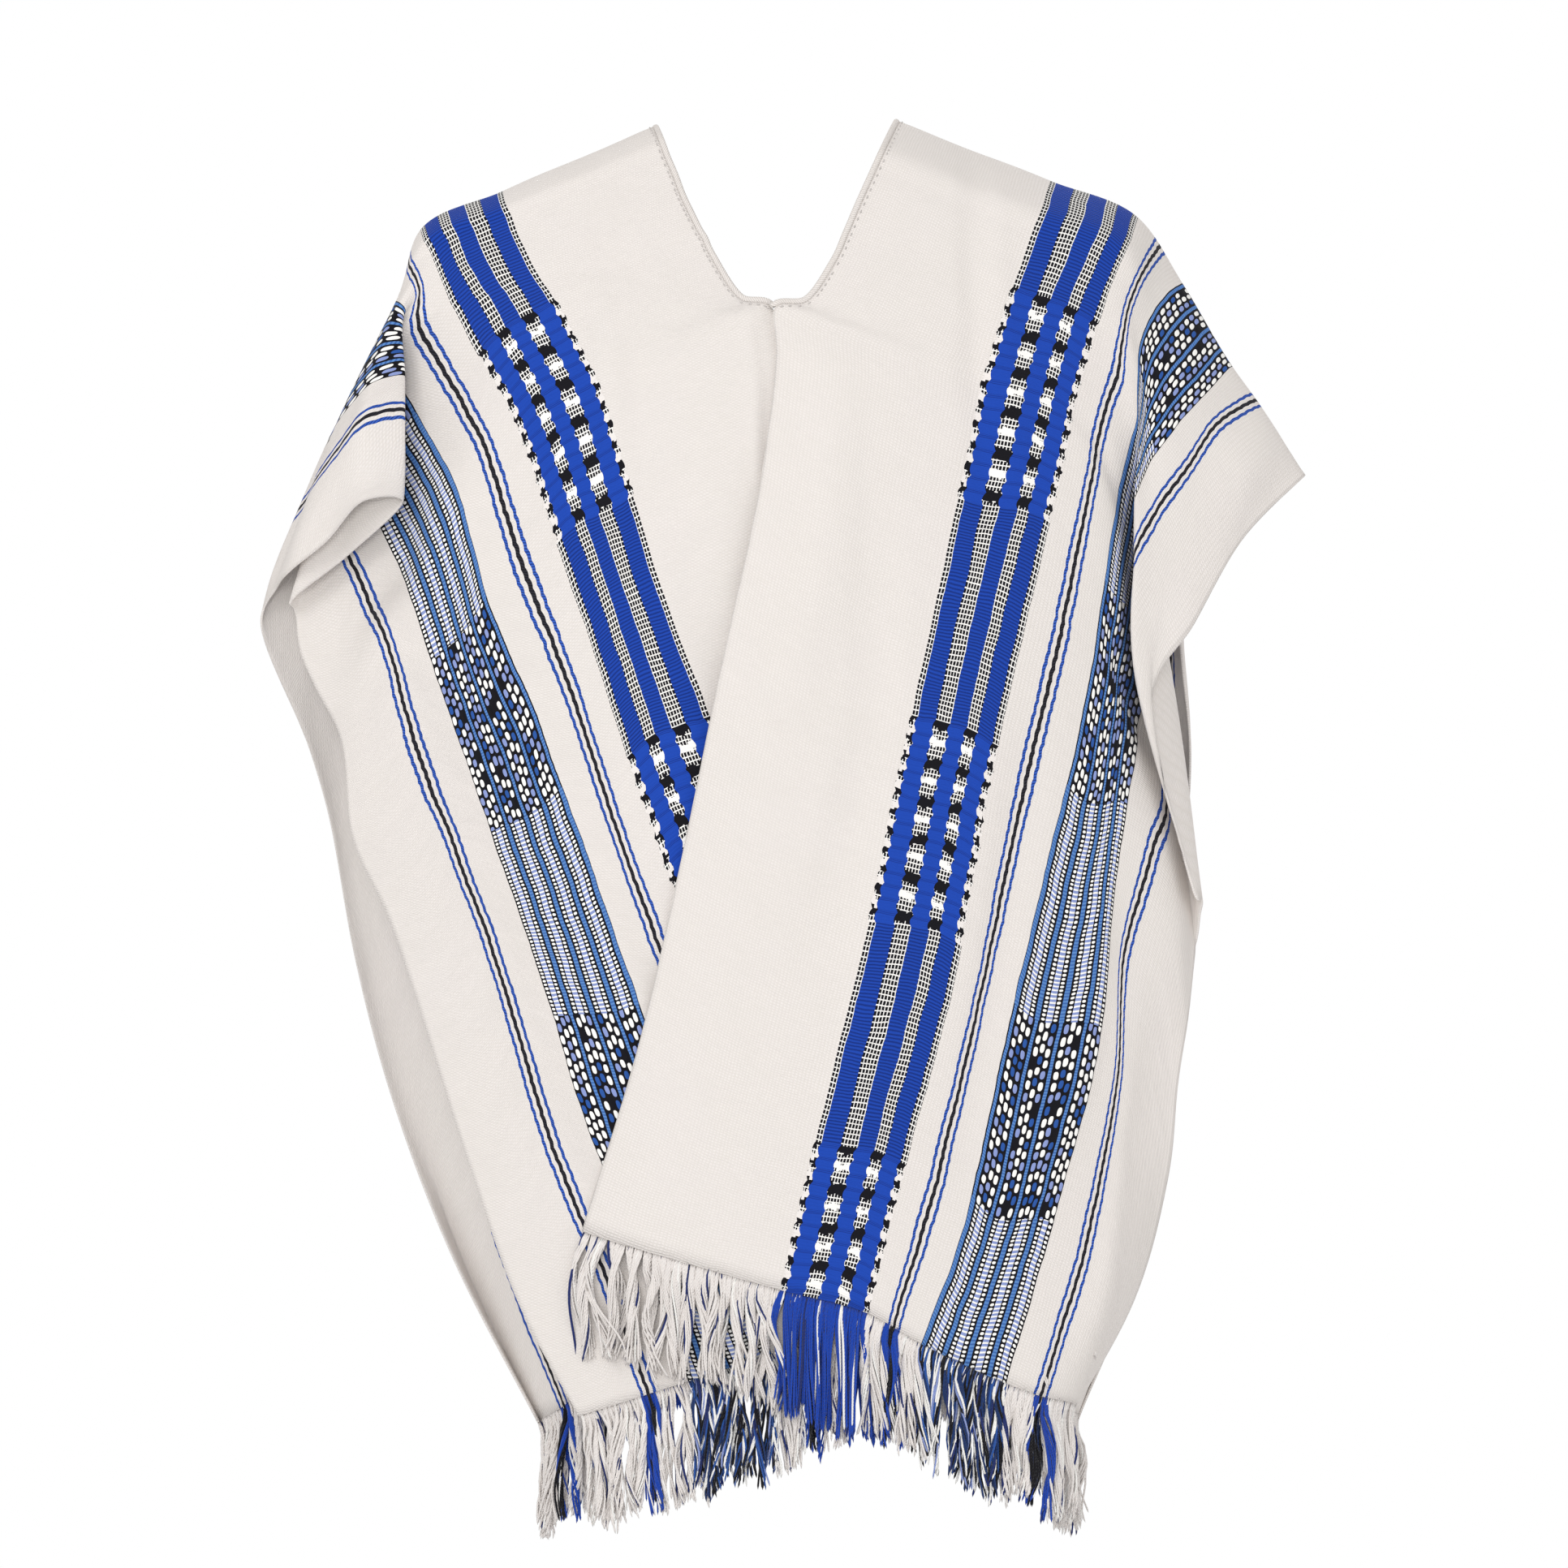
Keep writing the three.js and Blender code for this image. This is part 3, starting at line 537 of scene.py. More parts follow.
def crease_height(entry, u, v):
    """Height of one soft crease, which fades out at both ends and at its edges."""
    line = entry["line"]
    whole = sum(math.dist(a, b) for a, b in zip(line, line[1:]))
    away = np.full(v.shape, np.inf)
    along = np.zeros(v.shape)
    done = 0
    for a, b in zip(line, line[1:]):
        du, dv = b[0] - a[0], b[1] - a[1]
        share = np.clip(((u - a[0]) * du + (v - a[1]) * dv) / (du * du + dv * dv), 0, 1)
        distance = np.hypot(u - a[0] - share * du, v - a[1] - share * dv)
        length = math.hypot(du, dv)
        along = np.where(distance < away, (done + share * length) / whole, along)
        away = np.minimum(away, distance)
        done += length
    fade = np.sin(np.pi * np.clip(along, 0, 1)) ** CREASE_TAPER
    return entry["high"] * fade * np.clip(1 - (away / entry["half"]) ** 2, 0, 1) ** 2


def hand_waver(u, v, side):
    """The slow unevenness of cloth that was worn and folded."""
    spots = [Vector((a / WAVER_SIZE, b / WAVER_SIZE, side * 3.7)) for a, b in zip(u.flat, v.flat)]
    wavers = [noise.noise(spot) for spot in spots]
    return HAND_WAVER * np.array(wavers).reshape(v.shape)


STRIPS = {
    "right": {"strip": RIGHT, "creases": RIGHT_CREASES},
    "left": {"strip": LEFT, "creases": LEFT_CREASES},
}


def lie_down(name, u, v):
    """How far the upper front's inner edge settles towards the front beneath it."""
    near = np.clip(1 - u / LIE_WIDE, 0, 1) ** 2
    below_neck = np.clip((v - LIE_FROM) / LIE_RAMP, 0, 1)
    return LIE_DOWN * near * below_neck * (name == "right")


def dressed_surface(name, across, along):
    """Points, outward directions and warp places of a strip with its creases, in millimetres."""
    strip = STRIPS[name]["strip"]
    points = surface(strip, across, along)
    place = warp_place(strip, points, across, along)
    u = np.broadcast_to(across, place.shape)
    away = outward(points, strip["way"])
    high = sum(crease_height(entry, u, place) for entry in STRIPS[name]["creases"])
    high = high + hand_waver(u, place, strip["way"])
    edge = np.minimum(u / CALM_NECK, 1) * np.minimum((STRIP_WIDTH - u) / CALM_SELVAGE + 0.2, 1)
    high = high * edge - lie_down(name, u, place)
    return points + away * high[..., None], away, place


print("creases", [entry["name"] for entry in RIGHT_CREASES + LEFT_CREASES])

# %% [markdown]
# The sheet starts as a flat grid with a thread's-width of detail in mind: 110 cells across and
# 250 along, about 3 by 6 mm each. Moving its corners onto the surface keeps it one clean sheet
# of quads. Every corner carries its place in the cloth as an attribute, which the weave reads,
# so the bands bend with the folds. Solidify then gives the cloth its thickness.

# %% The two woven strips
CELLS_ACROSS = 110
STEPS_EACH_ROW = 11
CLOTH_THICK = 1.5


def fine_steps(knots, each):
    steps = [np.linspace(a, b, each, endpoint=False) for a, b in zip(knots, knots[1:])]
    return np.concatenate(steps + [knots[-1:]])


def keep_place(mesh, places):
    """Stores each corner's place in the cloth, in millimetres."""
    kept = mesh.attributes.new("cloth", "FLOAT_VECTOR", "POINT")
    kept.data.foreach_set("vector", np.asarray(places, float).ravel())


def woven_strip(name):
    strip = STRIPS[name]["strip"]
    across = np.linspace(0, STRIP_WIDTH, CELLS_ACROSS + 1)
    along = fine_steps(strip["knots"], STEPS_EACH_ROW)
    points, away, place = dressed_surface(name, across, along)
    bm = bmesh.new()
    bmesh.ops.create_grid(bm, x_segments=len(across) - 1, y_segments=len(along) - 1, size=1)
    for vert, point in zip(bm.verts, points.reshape(-1, 3)):
        vert.co = Vector(point) * MM
    for face in bm.faces:
        face.smooth = True
    if strip["way"] > 0:
        bmesh.ops.reverse_faces(bm, faces=bm.faces)
    cloth = new_object("cloth_" + name, bm)
    u = np.broadcast_to(across, place.shape)
    keep_place(cloth.data, np.stack([u, place, np.zeros(place.shape)], axis=-1))
    thick = cloth.modifiers.new("cloth_thickness", "SOLIDIFY")
    thick.thickness = CLOTH_THICK * MM
    thick.offset = 0
    return cloth


cloth_right = woven_strip("right")
cloth_left = woven_strip("left")
print("quads", len(cloth_right.data.polygons), len(cloth_left.data.polygons))

# %% [markdown]
# The cloth is handwoven cotton, warp-faced and matt, so it has almost no gloss and a little
# fuzz. The plain ground shows as fine ribs along the warp on one strip and as a slanting twill
# on the other. Two figured bands and two triple lines run the whole length. Their threads
# float in blocks: where one band is ribbed the other shows checks, and they swap every 136 mm.
# All of it is worked out from thread sizes in millimetres at each point's place in the cloth.

# %% Thread colours and sizes
CREAM = "ebe5e1"
# Cream in painted shade, for the grooves between the ground's threads.
CREAM_SHADE = "d6cfc8"
ROYAL = "1c46ad"
# The darker royal is painted shade for the grooves of blue ribs and plies, not a thread of its own.
ROYAL_SHADED = "0f2a78"
STEEL = "2c56a0"
LAVENDER = "8b9ace"
BLACK = "131218"
WHITE = "f7f5f1"

BLOCK = 136
FIRST_BLOCK = 100
BAND_A = 125
BAND_B = 224
BAND_WIDTH = 54
A_MARGIN = 5
A_SPAN = 65
LINES_FROM = 190
LINES_SPAN = 122
LINE_WIDE = 2.1
LINE_PLY = 1.9
RIB = 2.2
GROUND_WEFT = 1.5
WEFT = 3.15
DASH = 1.8
FIRST_DASH = BAND_A + 3.5
BLUE_RIB = 2.1
FIGURE = 25.6
RAGGED = 3.4
SWELL = 1.4
CORD = 3.375
SWAY = 3.8
BEAD = 2.7
OVAL = 8.0


def stretched_noise(tree, place, scale, detail, out=0):
    """Soft noise over the cloth, with a scale of its own across and along."""
    at = add(tree, "Mapping", {"Vector": place, "Scale": scale})
    return add(tree, "TexNoise", {"Vector": at, "Scale": 1.0, "Detail": detail}, out=out)


def stops(socket, marks, start, size):
    """Sets a colour ramp's stops at millimetres from start, each colour held to the next."""
    ramp = socket.node.color_ramp
    ramp.interpolation = "CONSTANT"
    for at, colour in marks:
        spot = (at - start) / size
        stop = ramp.elements[0] if at == marks[0][0] else ramp.elements.new(spot)
        stop.position = spot
        stop.color = srgb(colour) if isinstance(colour, str) else colour
    ramp.elements.remove(ramp.elements[-1])


print("blocks of", BLOCK, "mm from", FIRST_BLOCK, "mm")

# %% [markdown]
# One function makes the weave for both strips. It reads the place in the cloth, wavers it by
# about a millimetre as a hand loom does, and asks of each point: which block, which column,
# which row of weft? The answers pick the colour, and the same answers raise or sink the
# surface a little, so that threads catch the light where they float.

# %% The weave
COLOURS = {"out": 2, "data_type": "RGBA"}
WANDER_ACROSS = 1.6
WANDER_ALONG = 3.5


def weave_places(tree):
    """Distance from the inner edge and warp length, both in mm and wavered by hand."""
    place = add(tree, "Attribute", out="Vector", attribute_name="cloth")
    drift = stretched_noise(tree, place, (0.03, 0.03, 1), 3.0, out="Color")
    split = add(tree, "SeparateXYZ", (place,)).node.outputs
    wander = add(tree, "SeparateColor", (drift,)).node.outputs
    off_u = add(tree, "MapRange", {0: wander["Red"], 3: -WANDER_ACROSS, 4: WANDER_ACROSS})
    off_v = add(tree, "MapRange", {0: wander["Green"], 3: -WANDER_ALONG, 4: WANDER_ALONG})
    u = add(tree, "Math", (split["X"], off_u), operation="ADD")
    v = add(tree, "Math", (split["Y"], off_v), operation="ADD")
    return place, u, v


def wave(tree, value, pitch, start=0.0):
    """The size, from 0 to 1, of a sine wave with a hump every pitch millimetres from start."""
    rate = math.pi / pitch
    turned = add(tree, "Math", (value, rate, -rate * start), operation="MULTIPLY_ADD")
    swing = add(tree, "Math", (turned,), operation="SINE")
    return add(tree, "Math", (swing,), operation="ABSOLUTE")


def part_of(tree, value, length, start=0.0):
    """How far a value lies into the repeat of a length, from 0 to 1."""
    scaled = add(tree, "Math", (value, 1 / length, -start / length), operation="MULTIPLY_ADD")
    return add(tree, "Math", (scaled,), operation="FRACT")


def part_number(tree, value, length):
    scaled = add(tree, "Math", (value, length), operation="DIVIDE")
    return add(tree, "Math", (scaled,), operation="FLOOR")


def within_band_b(tree, u):
    past_start = add(tree, "Math", (u, BAND_B), operation="GREATER_THAN")
    before_end = add(tree, "Math", (u, BAND_B + BAND_WIDTH), operation="LESS_THAN")
    return add(tree, "Math", (past_start, before_end), operation="MULTIPLY")


def woven_cotton(name, twill):
    """Matt handwoven cotton. Ribs or a twill in the ground, two figured bands, two triple lines."""
    cloth, tree, shader = new_material(name)
    place, u, v = weave_places(tree)
    length = add(tree, "Math", (v,), operation="ABSOLUTE")

    # Which block: 1 where band A shows checks, 0 where band B does
    swap = part_of(tree, length, 2 * BLOCK, FIRST_BLOCK)
    a_checks = add(tree, "Math", (swap, 0.5), operation="LESS_THAN")
    block_share = part_of(tree, length, BLOCK, FIRST_BLOCK)
    in_block = add(tree, "Math", (block_share, BLOCK), operation="MULTIPLY")

    # Short threads, black and white in turn
    row = add(tree, "Math", (wave(tree, v, WEFT), 0.36), operation="GREATER_THAN")
    tick_here = add(tree, "Math", (wave(tree, u, DASH, FIRST_DASH), 0.4), operation="GREATER_THAN")
    dash_here = add(tree, "Math", (row, tick_here), operation="MULTIPLY")
    dashes = add(tree, "Mix", {0: dash_here, 6: WHITE, 7: BLACK}, **COLOURS)
    half_figure = part_number(tree, in_block, FIGURE / 2)
    number = add(tree, "Math", (part_number(tree, u, DASH), half_figure), operation="ADD")
    uneven = add(tree, "TexWhiteNoise", {"W": number}, noise_dimensions="1D")
    ragged = add(tree, "Math", (uneven, RAGGED, in_block), operation="MULTIPLY_ADD")

    # Band A: blue columns are red here, check columns green, edge columns blue
    lift_edge = wave(tree, in_block, FIGURE / 3)
    swell = add(tree, "Math", (lift_edge, a_checks), operation="MULTIPLY")
    u_a = add(tree, "Math", (swell, SWELL, u), operation="MULTIPLY_ADD")
    across_a = add(tree, "MapRange", {0: u_a, 1: BAND_A - A_MARGIN, 2: BAND_A - A_MARGIN + A_SPAN})
    columns = add(tree, "ValToRGB", (across_a,))
    none, mixed, full = [(grey, grey, grey, 1) for grey in (0, 0.5, 1)]
    blue, check, edge = (1, 0, 0, 1), (0, 1, 0, 1), (0, 0, 1, 1)
    stops(columns, [(0, none), (5, edge), (8.5, blue), (19.5, check), (28.5, blue), (38.5, check),
                    (45.5, blue), (55.5, edge), (59.5, none)], 0, A_SPAN)
    kinds = add(tree, "SeparateColor", (columns,)).node.outputs
    weft = wave(tree, v, BLUE_RIB)
    # Blue weft ribs: royal on their crests, painted shade in the grooves between them.
    ribbed_blue = add(tree, "Mix", {0: weft, 6: ROYAL_SHADED, 7: ROYAL}, **COLOURS)
    thirds = part_of(tree, in_block, FIGURE / 3)
    parting = add(tree, "Math", (thirds, 0.30), operation="LESS_THAN")
    fine = add(tree, "Math", (wave(tree, in_block, FIGURE / 27), 0.6), operation="LESS_THAN")
    parted = add(tree, "Math", (parting, fine), operation="MULTIPLY")
    satin_blue = add(tree, "Mix", {0: parted, 6: ROYAL, 7: "163388"}, **COLOURS)
    blues = add(tree, "Mix", {0: a_checks, 6: ribbed_blue, 7: satin_blue}, **COLOURS)
    figure = add(tree, "ValToRGB", (part_of(tree, ragged, FIGURE),))
    stops(figure, [(0, none), (7.2, mixed), (13.2, full), (17.4, mixed)], 0, FIGURE)
    figure_code = add(tree, "SeparateColor", (figure,))
    not_dash = add(tree, "Math", (figure_code, 0.5, 0.2), operation="COMPARE")
    solid_patch = add(tree, "Mix", {0: figure_code, 6: BLACK, 7: WHITE}, **COLOURS)
    patches = add(tree, "Mix", {0: not_dash, 6: solid_patch, 7: dashes}, **COLOURS)
    checks = add(tree, "Mix", {0: a_checks, 6: dashes, 7: patches}, **COLOURS)
    colour_a = add(tree, "Mix", {0: kinds["Green"], 6: blues, 7: checks}, **COLOURS)
    beside = part_of(tree, ragged, FIGURE / 2)
    edges = dashes
    for side, limit, thread in (("GREATER_THAN", 0.62, CREAM), ("LESS_THAN", 0.34, BLACK)):
        there = add(tree, "Math", (beside, limit), operation=side)
        there = add(tree, "Math", (there, a_checks), operation="MULTIPLY")
        edges = add(tree, "Mix", {0: there, 6: edges, 7: thread}, **COLOURS)
    colour_a = add(tree, "Mix", {0: kinds["Blue"], 6: colour_a, 7: edges}, **COLOURS)
    not_edge = add(tree, "Math", (kinds["Red"], kinds["Green"]), operation="ADD")
    in_a = add(tree, "Math", (not_edge, kinds["Blue"]), operation="ADD")

    # Band B: columns of blue cord in red, beads in green and pale thread in blue, four repeats
    humps = wave(tree, u, CORD, BAND_B)
    quarter = part_of(tree, u, 4 * CORD, BAND_B)
    code = add(tree, "ValToRGB", (quarter,))
    stops(code, [(0, blue), (1, check), (2, edge), (3, check)], 0, 4)
    cords = add(tree, "SeparateColor", (code,)).node.outputs
    column = part_number(tree, add(tree, "Math", (u, BAND_B), operation="SUBTRACT"), CORD)
    slip = add(tree, "TexWhiteNoise", {"W": column}, noise_dimensions="1D")
    shifted = add(tree, "Math", (slip, OVAL, v), operation="MULTIPLY_ADD")
    oval_number = part_number(tree, shifted, OVAL)
    cell = add(tree, "Math", (column, 17.3, oval_number), operation="MULTIPLY_ADD")
    chance = add(tree, "TexWhiteNoise", {"W": cell}, noise_dimensions="1D")
    oval_thread = add(tree, "ValToRGB", (chance,))
    stops(oval_thread, [(0, WHITE), (0.52, LAVENDER), (0.8, STEEL), (0.96, BLACK)], 0, 1)
    bead = add(tree, "Math", (wave(tree, v, BEAD), humps), operation="MULTIPLY")
    oval = add(tree, "Math", (wave(tree, shifted, OVAL), humps), operation="MULTIPLY")
    bead_white = add(tree, "Math", (bead, 0.56), operation="GREATER_THAN")
    oval_white = add(tree, "Math", (oval, 0.4), operation="GREATER_THAN")
    ovals = add(tree, "Mix", {0: oval_white, 6: BLACK, 7: oval_thread}, **COLOURS)
    rows = add(tree, "Mix", {0: bead_white, 6: BLACK, 7: WHITE}, **COLOURS)
    beads = add(tree, "Mix", {0: a_checks, 6: ovals, 7: rows}, **COLOURS)
    cord_limit = add(tree, "MapRange", {0: a_checks, 3: 0.66, 4: 0.34})
    cord_edge = add(tree, "Math", (humps, cord_limit), operation="GREATER_THAN")
    # The cord is steel blue, paler on the crests of its weft ribs: a painted highlight.
    cord_blue = add(tree, "Mix", {0: weft, 6: STEEL, 7: "5f8cc8"}, **COLOURS)
    cord_colour = add(tree, "Mix", {0: cord_edge, 6: BLACK, 7: cord_blue}, **COLOURS)
    glint = add(tree, "Math", (wave(tree, v, BEAD), 0.8), operation="GREATER_THAN")
    pale = add(tree, "Mix", {0: glint, 6: LAVENDER, 7: WHITE}, **COLOURS)
    pales = add(tree, "Mix", {0: a_checks, 6: ovals, 7: pale}, **COLOURS)
    colour_b = add(tree, "Mix", {0: cords["Blue"], 6: cord_colour, 7: pales}, **COLOURS)
    colour_b = add(tree, "Mix", {0: cords["Green"], 6: colour_b, 7: beads}, **COLOURS)
    in_b = within_band_b(tree, u)

    # Triple lines: blue in red, black in green
    sway = add(tree, "Math", (wave(tree, v, 2 * SWAY), 0.5, u), operation="MULTIPLY_ADD")
    first = LINES_FROM + 0.3
    across_lines = add(tree, "MapRange", {0: sway, 1: first, 2: first + LINES_SPAN})
    lines = add(tree, "ValToRGB", (across_lines,))
    marks = [(LINES_FROM, none)]
    first_line = [(195.4, blue), (200, check), (204.6, blue)]
    second_line = [(298.5, blue), (303, check), (307.5, blue)]
    for middle, thread in first_line + second_line:
        marks += [(middle - LINE_WIDE / 2, thread), (middle + LINE_WIDE / 2, none)]
    stops(lines, marks, LINES_FROM, LINES_SPAN)
    line_kinds = add(tree, "SeparateColor", (lines,)).node.outputs
    ply = wave(tree, add(tree, "Math", (u, v), operation="ADD"), LINE_PLY)
    # The ply twist is drawn in colour: painted highlight on its crests, painted shade in its grooves.
    blue_ply = add(tree, "Mix", {0: ply, 6: ROYAL_SHADED, 7: "3a64c4"}, **COLOURS)
    black_ply = add(tree, "Mix", {0: ply, 6: "08080b", 7: "2e2d36"}, **COLOURS)
    in_lines = add(tree, "Math", (line_kinds["Red"], line_kinds["Green"]), operation="ADD")
    colour_lines = add(tree, "Mix", {0: line_kinds["Red"], 6: black_ply, 7: blue_ply}, **COLOURS)

    # The ground: ribs or twill, with slubs along the weft
    rib_line = add(tree, "Math", (v, 1.0 if twill else 0.0, u), operation="MULTIPLY_ADD")
    rib = wave(tree, rib_line, RIB)
    tick = wave(tree, v, GROUND_WEFT)
    grain = add(tree, "Math", (rib, tick), operation="MULTIPLY")
    slub = stretched_noise(tree, place, (0.05, 0.7, 1), 2.0)
    cloudy = stretched_noise(tree, place, (0.012, 0.012, 1), 4.0)
    # The ground darkens in the grooves between its threads: painted shade.
    shade = add(tree, "MapRange", {0: grain, 3: 0.62, 4: 0.0})
    ground = add(tree, "Mix", {0: shade, 6: CREAM, 7: CREAM_SHADE}, **COLOURS)
    thick_weft = add(tree, "MapRange", {0: slub, 1: 0.5, 2: 0.8, 4: 0.5})
    cloud = add(tree, "MapRange", {0: cloudy, 1: 0.45, 2: 0.75, 4: 0.35})
    for where, tint in ((thick_weft, "e2dcd5"), (cloud, "e5dedb")):
        ground = add(tree, "Mix", {0: where, 6: ground, 7: tint}, **COLOURS)

    colour = ground
    for where, layer in ((in_lines, colour_lines), (in_a, colour_a), (in_b, colour_b)):
        colour = add(tree, "Mix", {0: where, 6: colour, 7: layer}, **COLOURS)

    # Height in bands: weft ribs, satin humps and beads
    lift = add(tree, "Math", (lift_edge, 0.4), operation="MULTIPLY")
    satin = add(tree, "Math", (weft, 0.4, lift), operation="MULTIPLY_ADD")
    high_a = add(tree, "Mix", {0: a_checks, 2: weft, 3: satin})
    high_b = add(tree, "Mix", {0: a_checks, 2: oval, 3: bead})
    low_grain = add(tree, "Math", (grain, 0.5), operation="MULTIPLY")
    high = add(tree, "Mix", {0: in_a, 2: low_grain, 3: high_a})
    high = add(tree, "Mix", {0: in_b, 2: high, 3: high_b})
    high = add(tree, "Math", (in_lines, ply, high), operation="MULTIPLY_ADD")
    high = add(tree, "Math", (slub, 0.35, high), operation="MULTIPLY_ADD")
    normal = add(tree, "Bump", {"Strength": 0.75, "Distance": 0.6 * MM, "Height": high})
    set_matt(tree, shader, colour, normal, roughness=0.92, gloss=0.15)
    shader["Sheen Weight"].default_value = 0.04
    shader["Sheen Roughness"].default_value = 0.6
    return cloth


cloth_right.data.materials.append(woven_cotton("handwoven_cotton_ribbed", twill=False))
cloth_left.data.materials.append(woven_cotton("handwoven_cotton_twilled", twill=True))
print("nodes in the weave", len(cloth_right.data.materials[0].node_tree.nodes))

# %% [markdown]
# The fringe is the warp itself, left uncut below the last weft and cut off by hand. Each
# strand is a slack two-ply yarn, made here as a slim four-sided
# Hair would not export, so every strand is a slim four-sided tube: a small grid rolled up and
# laid along its own path. Neighbours draw together and twist about each other into curling
# locks, as cotton ends do after washing. The satin threads of the first band are too slippery
# to curl and hang down as a straight, heavy sheaf.

# %% Fringe yarns
YARN_SIDES = 4
YARN_STEPS = 13
YARN_RADIUS = 0.8
YARN_END = 0.97
ROOT_INSIDE = 3
THREAD_MERGE = 1e-6
JOIN = 0.22
BEND = 0.12
ROOTS_EACH_MM = 2
LOCKS = [
    {"to": 44, "wide": 5.6, "yarns": 12, "draw": 0.6, "curl": 6.5, "twist": 8, "long": 76},
    {"to": 125, "wide": 4.6, "yarns": 11, "draw": 0.5, "curl": 3.6, "twist": 9, "long": 71},
    {"to": 178, "wide": 2.6, "yarns": 7, "draw": 0.15, "curl": 0.8, "twist": 2, "long": 74},
    {"to": 224, "wide": 4.2, "yarns": 10, "draw": 0.45, "curl": 2.6, "twist": 8, "long": 69},
    {"to": 278, "wide": 2.8, "yarns": 8, "draw": 0.4, "curl": 2.2, "twist": 11, "long": 70},
    {"to": STRIP_WIDTH, "wide": 4.4, "yarns": 11, "draw": 0.5, "curl": 3.4, "twist": 9, "long": 69},
]


def lay_yarn(bm, path, radius, places, mark):
    """One strand along a path: a grid rolled into a tube that closes at both ends."""
    count = len(path) - 1
    made = bmesh.ops.create_grid(bm, x_segments=YARN_SIDES, y_segments=count, size=1)["verts"]
    for k, vert in enumerate(made):
        i, side = divmod(k, YARN_SIDES + 1)
        run = (path[min(i + 1, count)] - path[max(i - 1, 0)]).normalized()
        wide = run.cross(Vector((0.3, 1, 0.1))).normalized()
        turn = 2 * math.pi * (side % YARN_SIDES) / YARN_SIDES
        thick = 0 if i in (0, count) else radius * (1.1 - 0.3 * i / count)
        offset = wide * math.cos(turn) + run.cross(wide) * math.sin(turn)
        vert.co = (path[i] + offset * thick) * MM
        vert[places] = (mark[0], i / count, mark[1])


def hem_line(name, front):
    """Roots of the fringe along a hem every half millimetre, and how the cloth runs there."""
    strip = STRIPS[name]["strip"]
    across = np.linspace(0, STRIP_WIDTH, ROOTS_EACH_MM * STRIP_WIDTH + 1)
    along = fine_steps(strip["knots"], STEPS_EACH_ROW)
    points, away, _ = dressed_surface(name, across, along)
    if not front:
        points, away = points[::-1], away[::-1]
    run = points[-1] - points[-4]
    return points[-1], run / np.linalg.norm(run, axis=-1, keepdims=True), away[-1]


def lock_yarns(hem, lock, start, rng):
    """Paths of the yarns in one lock, each with its distance from the cloth's inner edge."""
    roots, runs, aways = hem
    centre = Vector(roots[round(ROOTS_EACH_MM * (start + lock["wide"] / 2))])
    draw = lock["draw"] * rng.uniform(0.5, 1.15)
    reach = lock["long"] + rng.uniform(-7, 5)
    curl = [lock["curl"] * rng.uniform(-1, 1) for _ in range(2)]
    phase = [rng.uniform(0, 6.3) for _ in range(2)]
    rate = rng.uniform(3.5, 8.5)
    lean = Vector((rng.uniform(-0.09, 0.09), rng.uniform(-0.08, 0.08), -1))
    twist = rng.choice((-1, 1)) * rng.uniform(0.6, 1.2) * lock["twist"]
    ring = 0.5 + 0.12 * lock["yarns"]
    yarns = []
    for k in range(lock["yarns"]):
        u = min(max(start + lock["wide"] * (k + rng.random()) / lock["yarns"], 1), STRIP_WIDTH - 1)
        at = round(ROOTS_EACH_MM * u)
        root = Vector(roots[at]) + Vector(aways[at]) * rng.uniform(-0.5, 0.5)
        run = Vector(runs[at])
        own = reach + rng.uniform(-5, 5)
        begin = 2 * math.pi * k / lock["yarns"]
        loose = rng.choice((0, 0, 0, 0, 1)) * lock["curl"]
        stray = [loose * rng.uniform(-1.4, 1.4) for _ in range(2)]
        path = []
        for step in range(YARN_STEPS + 1):
            s = YARN_END * step / (YARN_STEPS - 1) if step < YARN_STEPS else 1.0
            join = min(s / JOIN, 1)
            swing = [c * (math.sin(p + rate * s) - math.sin(p)) * join for c, p in zip(curl, phase)]
            around = begin + twist * s
            hang = run * min(s, BEND) + lean * max(s - BEND, 0)
            point = root.lerp(centre, min(draw * join, 1)) + hang * own
            point.x += swing[0] + math.cos(around) * ring * join + stray[0] * s * s
            point.y += 0.6 * swing[1] + math.sin(around) * ring * join + stray[1] * s * s
            path.append(point - run * ROOT_INSIDE * (1 - join))
        yarns.append((path, u))
    return yarns


def fringe(name, front, seed):
    rng = random.Random(seed)
    bm = bmesh.new()
    places = bm.verts.layers.float_vector.new("cloth")
    hem = hem_line(name, front)
    start = 0.0
    while start < STRIP_WIDTH - 2:
        lock = next(lock for lock in LOCKS if start < lock["to"] - 1)
        for path, u in lock_yarns(hem, lock, start, rng):
            lay_yarn(bm, path, YARN_RADIUS * rng.uniform(0.75, 1.15), places, (u, rng.random()))
        start += lock["wide"]
    return new_threads("warp_fringe_%s_%s" % ("front" if front else "back", name), bm, THREAD_MERGE)


